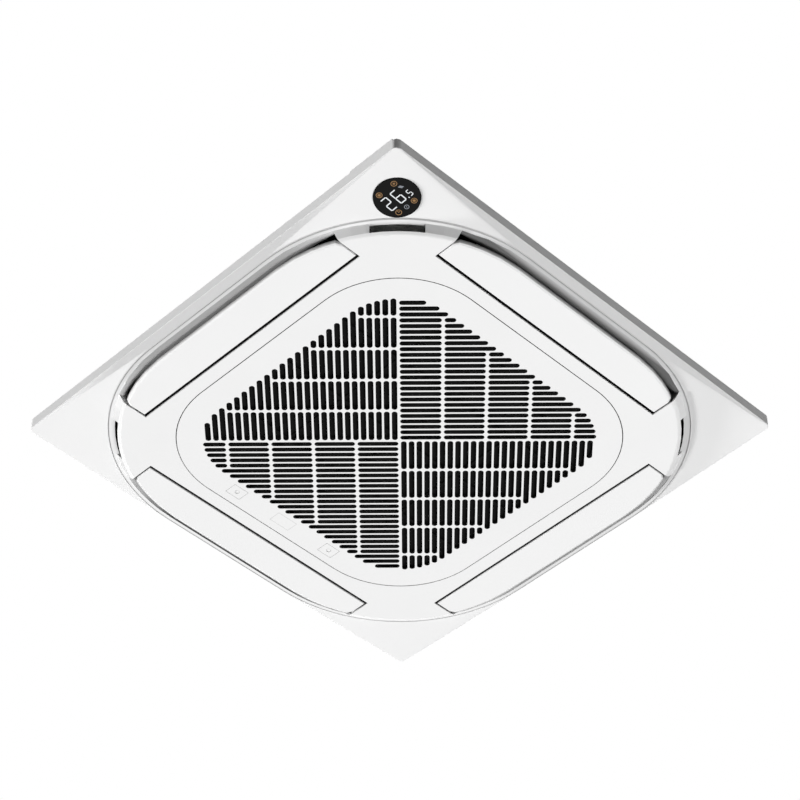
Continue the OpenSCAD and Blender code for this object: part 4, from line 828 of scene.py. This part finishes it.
sign_ring_r = 5.5 * mm
sign_ring_w = 1.0 * mm
sign_star_l = 7.0 * mm
snow = on_lens(-17.4, 24.8)
snow_stroke = 0.9 * mm
fan_sign = on_lens(16.5, 23.9)
fan_sign_l = 5.6 * mm
sun = on_lens(16.0, -24.2)
sun_stroke = 0.8 * mm
sun_r = 1.9 * mm
timer = on_lens(-19.2, -22.8)
hand_l = 3.6 * mm
hand_stroke = 0.9 * mm
hand_shift = 1.4 * mm
rings = copies(flat_ring(sign_ring_r, sign_ring_w, sign_h),
               [Matrix.Translation(middle) for middle in (snow, fan_sign, timer, sun)])
timer_hands = [flat_place(timer.x, timer.y + hand_shift),
               flat_place(timer.x + hand_shift, timer.y, math.pi / 2)]
light([rings,
       star(snow, 4, sign_star_l, snow_stroke),
       star(fan_sign, 3, fan_sign_l, sun_stroke),
       copies(bar(hand_l, hand_stroke), timer_hands),
       star(sun, 4, sign_star_l, sun_stroke),
       dot(sun, sun_r)],
      "amber_signs", amber_light)

power = on_lens(-1.8, -24.4)
power_r = 4.4 * mm
power_bar_l = 3.4 * mm
wave_sign = on_lens(20.2, 11.2)
wave_bar_l = 7.5 * mm
wave_bar_w = 1.2 * mm
wave_pitch = 1.8 * mm
wave_bars = [flat_place(wave_sign.x + step * wave_pitch, wave_sign.y, math.pi / 6)
             for step in (-1, 0, 1)]
light([copies(flat_ring(power_r, sign_ring_w, sign_h), [Matrix.Translation(power)]),
       copies(bar(power_bar_l, hand_stroke), [flat_place(power.x, power.y)]),
       copies(bar(wave_bar_l, wave_bar_w), wave_bars)],
      "grey_signs", grey_light)


# Ceiling
# The panel lies under a white ceiling with a hole for the casing. The ceiling shows pure white
# from the room, carries painted shade over the panel, and shows nothing from above. The room's
# light comes back from it dimly.

ceiling_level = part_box("ceiling_seal")[1].z
ceiling_half = 3.0
ceiling_hole_half = 428 * mm
ceiling_hole_cut = 140 * mm
ceiling_shade_half = 470 * mm
ceiling_bounce = grey(0.12)
ceiling = begin(bpy.ops.mesh.primitive_plane_add, size=2 * ceiling_half,
                location=(0, 0, ceiling_level))
bpy.ops.mesh.inset(thickness=ceiling_half - ceiling_hole_half)
bpy.ops.mesh.bevel(offset=ceiling_hole_cut, affect="VERTICES")
pick(ceiling, lambda face: len(face.verts) == 8)
bpy.ops.mesh.delete(type="FACE")
bpy.ops.mesh.select_all(action="SELECT")
bpy.ops.mesh.flip_normals()
end(ceiling)
ceiling.name = "ceiling"


def seen_share(nodes):
    """1 where a ray comes straight, by a mirror or through glass from the camera."""
    kinds = ("Is Camera Ray", "Is Glossy Ray", "Is Transmission Ray")
    rays = [nodes.add("ShaderNodeLightPath", {}, {}, kind) for kind in kinds]
    return rays[0].maths("MAXIMUM", rays[1]).maths("MAXIMUM", rays[2])


paint = bpy.data.materials.new("ceiling_paint")
paint.use_nodes = True
paint.node_tree.nodes.clear()
paint_nodes = Nodes(paint.node_tree)
bright = paint_nodes.add("ShaderNodeEmission", {}, {"Color": grey(1.0), "Strength": 1.0})
dull = paint_nodes.add("ShaderNodeBsdfDiffuse", {}, {"Color": ceiling_bounce})
clear = paint_nodes.add("ShaderNodeBsdfTransparent", {}, {})
seen = seen_share(paint_nodes)
lit_side = paint_nodes.add("ShaderNodeMixShader", {}, {0: seen, 1: dull, 2: bright})
# Painted shade on the ceiling over the panel.
shade = paint_nodes.add("ShaderNodeBsdfDiffuse", {}, {"Color": grey(0.012)})
ceiling_x, ceiling_y, _ = paint_nodes.axes()
over_panel = abs(ceiling_x).maths("MAXIMUM", abs(ceiling_y)) < ceiling_shade_half
room_side = paint_nodes.add("ShaderNodeMixShader", {}, {0: over_panel, 1: lit_side, 2: shade})
behind = paint_nodes.add("ShaderNodeNewGeometry", {}, {}, "Backfacing")
whole = paint_nodes.add("ShaderNodeMixShader", {}, {0: behind * seen, 1: room_side, 2: clear})
paint_end = paint.node_tree.nodes.new("ShaderNodeOutputMaterial")
paint_nodes.feed(paint_end.inputs["Surface"], whole)
ceiling.data.materials.append(paint)


# Light
# The room is bright from all round. Wide soft lamps shine up on the panel, narrow ones graze
# it just under the ceiling, and others light the casing that stands above the ceiling.

def lamp(name, way, strength, spread_angle):
    """A lamp far away, as bright on a white face turned to it as its strength says."""
    bpy.ops.object.light_add(type="SUN")
    sun_lamp = bpy.context.object
    sun_lamp.name = name
    sun_lamp.rotation_mode = "QUATERNION"
    sun_lamp.rotation_quaternion = Vector(way).to_track_quat("Z", "Y")
    sun_lamp.data.energy = strength * math.pi
    sun_lamp.data.angle = spread_angle


wide = 0.5
narrow = 0.1
lamp("left", (-0.78, -0.45, -0.42), 0.63, narrow)
lamp("low_left", (-0.85, -0.49, -0.21), 0.65, narrow)
lamp("rear", (0.08, 0.76, -0.64), 0.32, wide)
lamp("rear_steep", (0.05, 0.45, -0.89), 0.21, wide)
lamp("right_steep", (0.45, 0.2, -0.87), 0.24, wide)
lamp("above", (0.2, -0.3, 1), 0.45, wide)
lamp("above_left", (-1, -0.6, 0.5), 0.35, wide)
lamp("above_right", (1, 0.6, 0.4), 0.25, wide)

world = bpy.data.worlds.new("room")
bpy.context.scene.world = world
world.use_nodes = True
world_nodes = Nodes(world.node_tree)
room = world.node_tree.nodes["Background"]
room_colour = world_nodes.mix(seen_share(world_nodes), grey(0.01), grey(1.0))
world_nodes.feed(room.inputs["Color"], room_colour)
room.inputs["Strength"].default_value = 1


# Camera
# The photo was taken from below, on the diagonal through the display, with a long lens.

camera_target = Vector((0, 0, -151)) * mm
camera_azimuth = math.radians(45.38)
camera_elevation = math.radians(-43.68)
camera_distance = 5.2025
bpy.ops.object.camera_add()
camera = bpy.context.object
camera.data.lens = 129.37
camera.data.sensor_width = 36
camera.data.shift_x = 0.0008
camera.data.shift_y = 0.0358
back = Vector((math.sin(camera_azimuth) * math.cos(camera_elevation),
               -math.cos(camera_azimuth) * math.cos(camera_elevation),
               math.sin(camera_elevation)))
camera.location = camera_target + back * camera_distance
camera.rotation_mode = "QUATERNION"
camera.rotation_quaternion = (-back).to_track_quat("-Z", "Y")
bpy.context.scene.camera = camera
bpy.context.scene.view_settings.view_transform = "Standard"
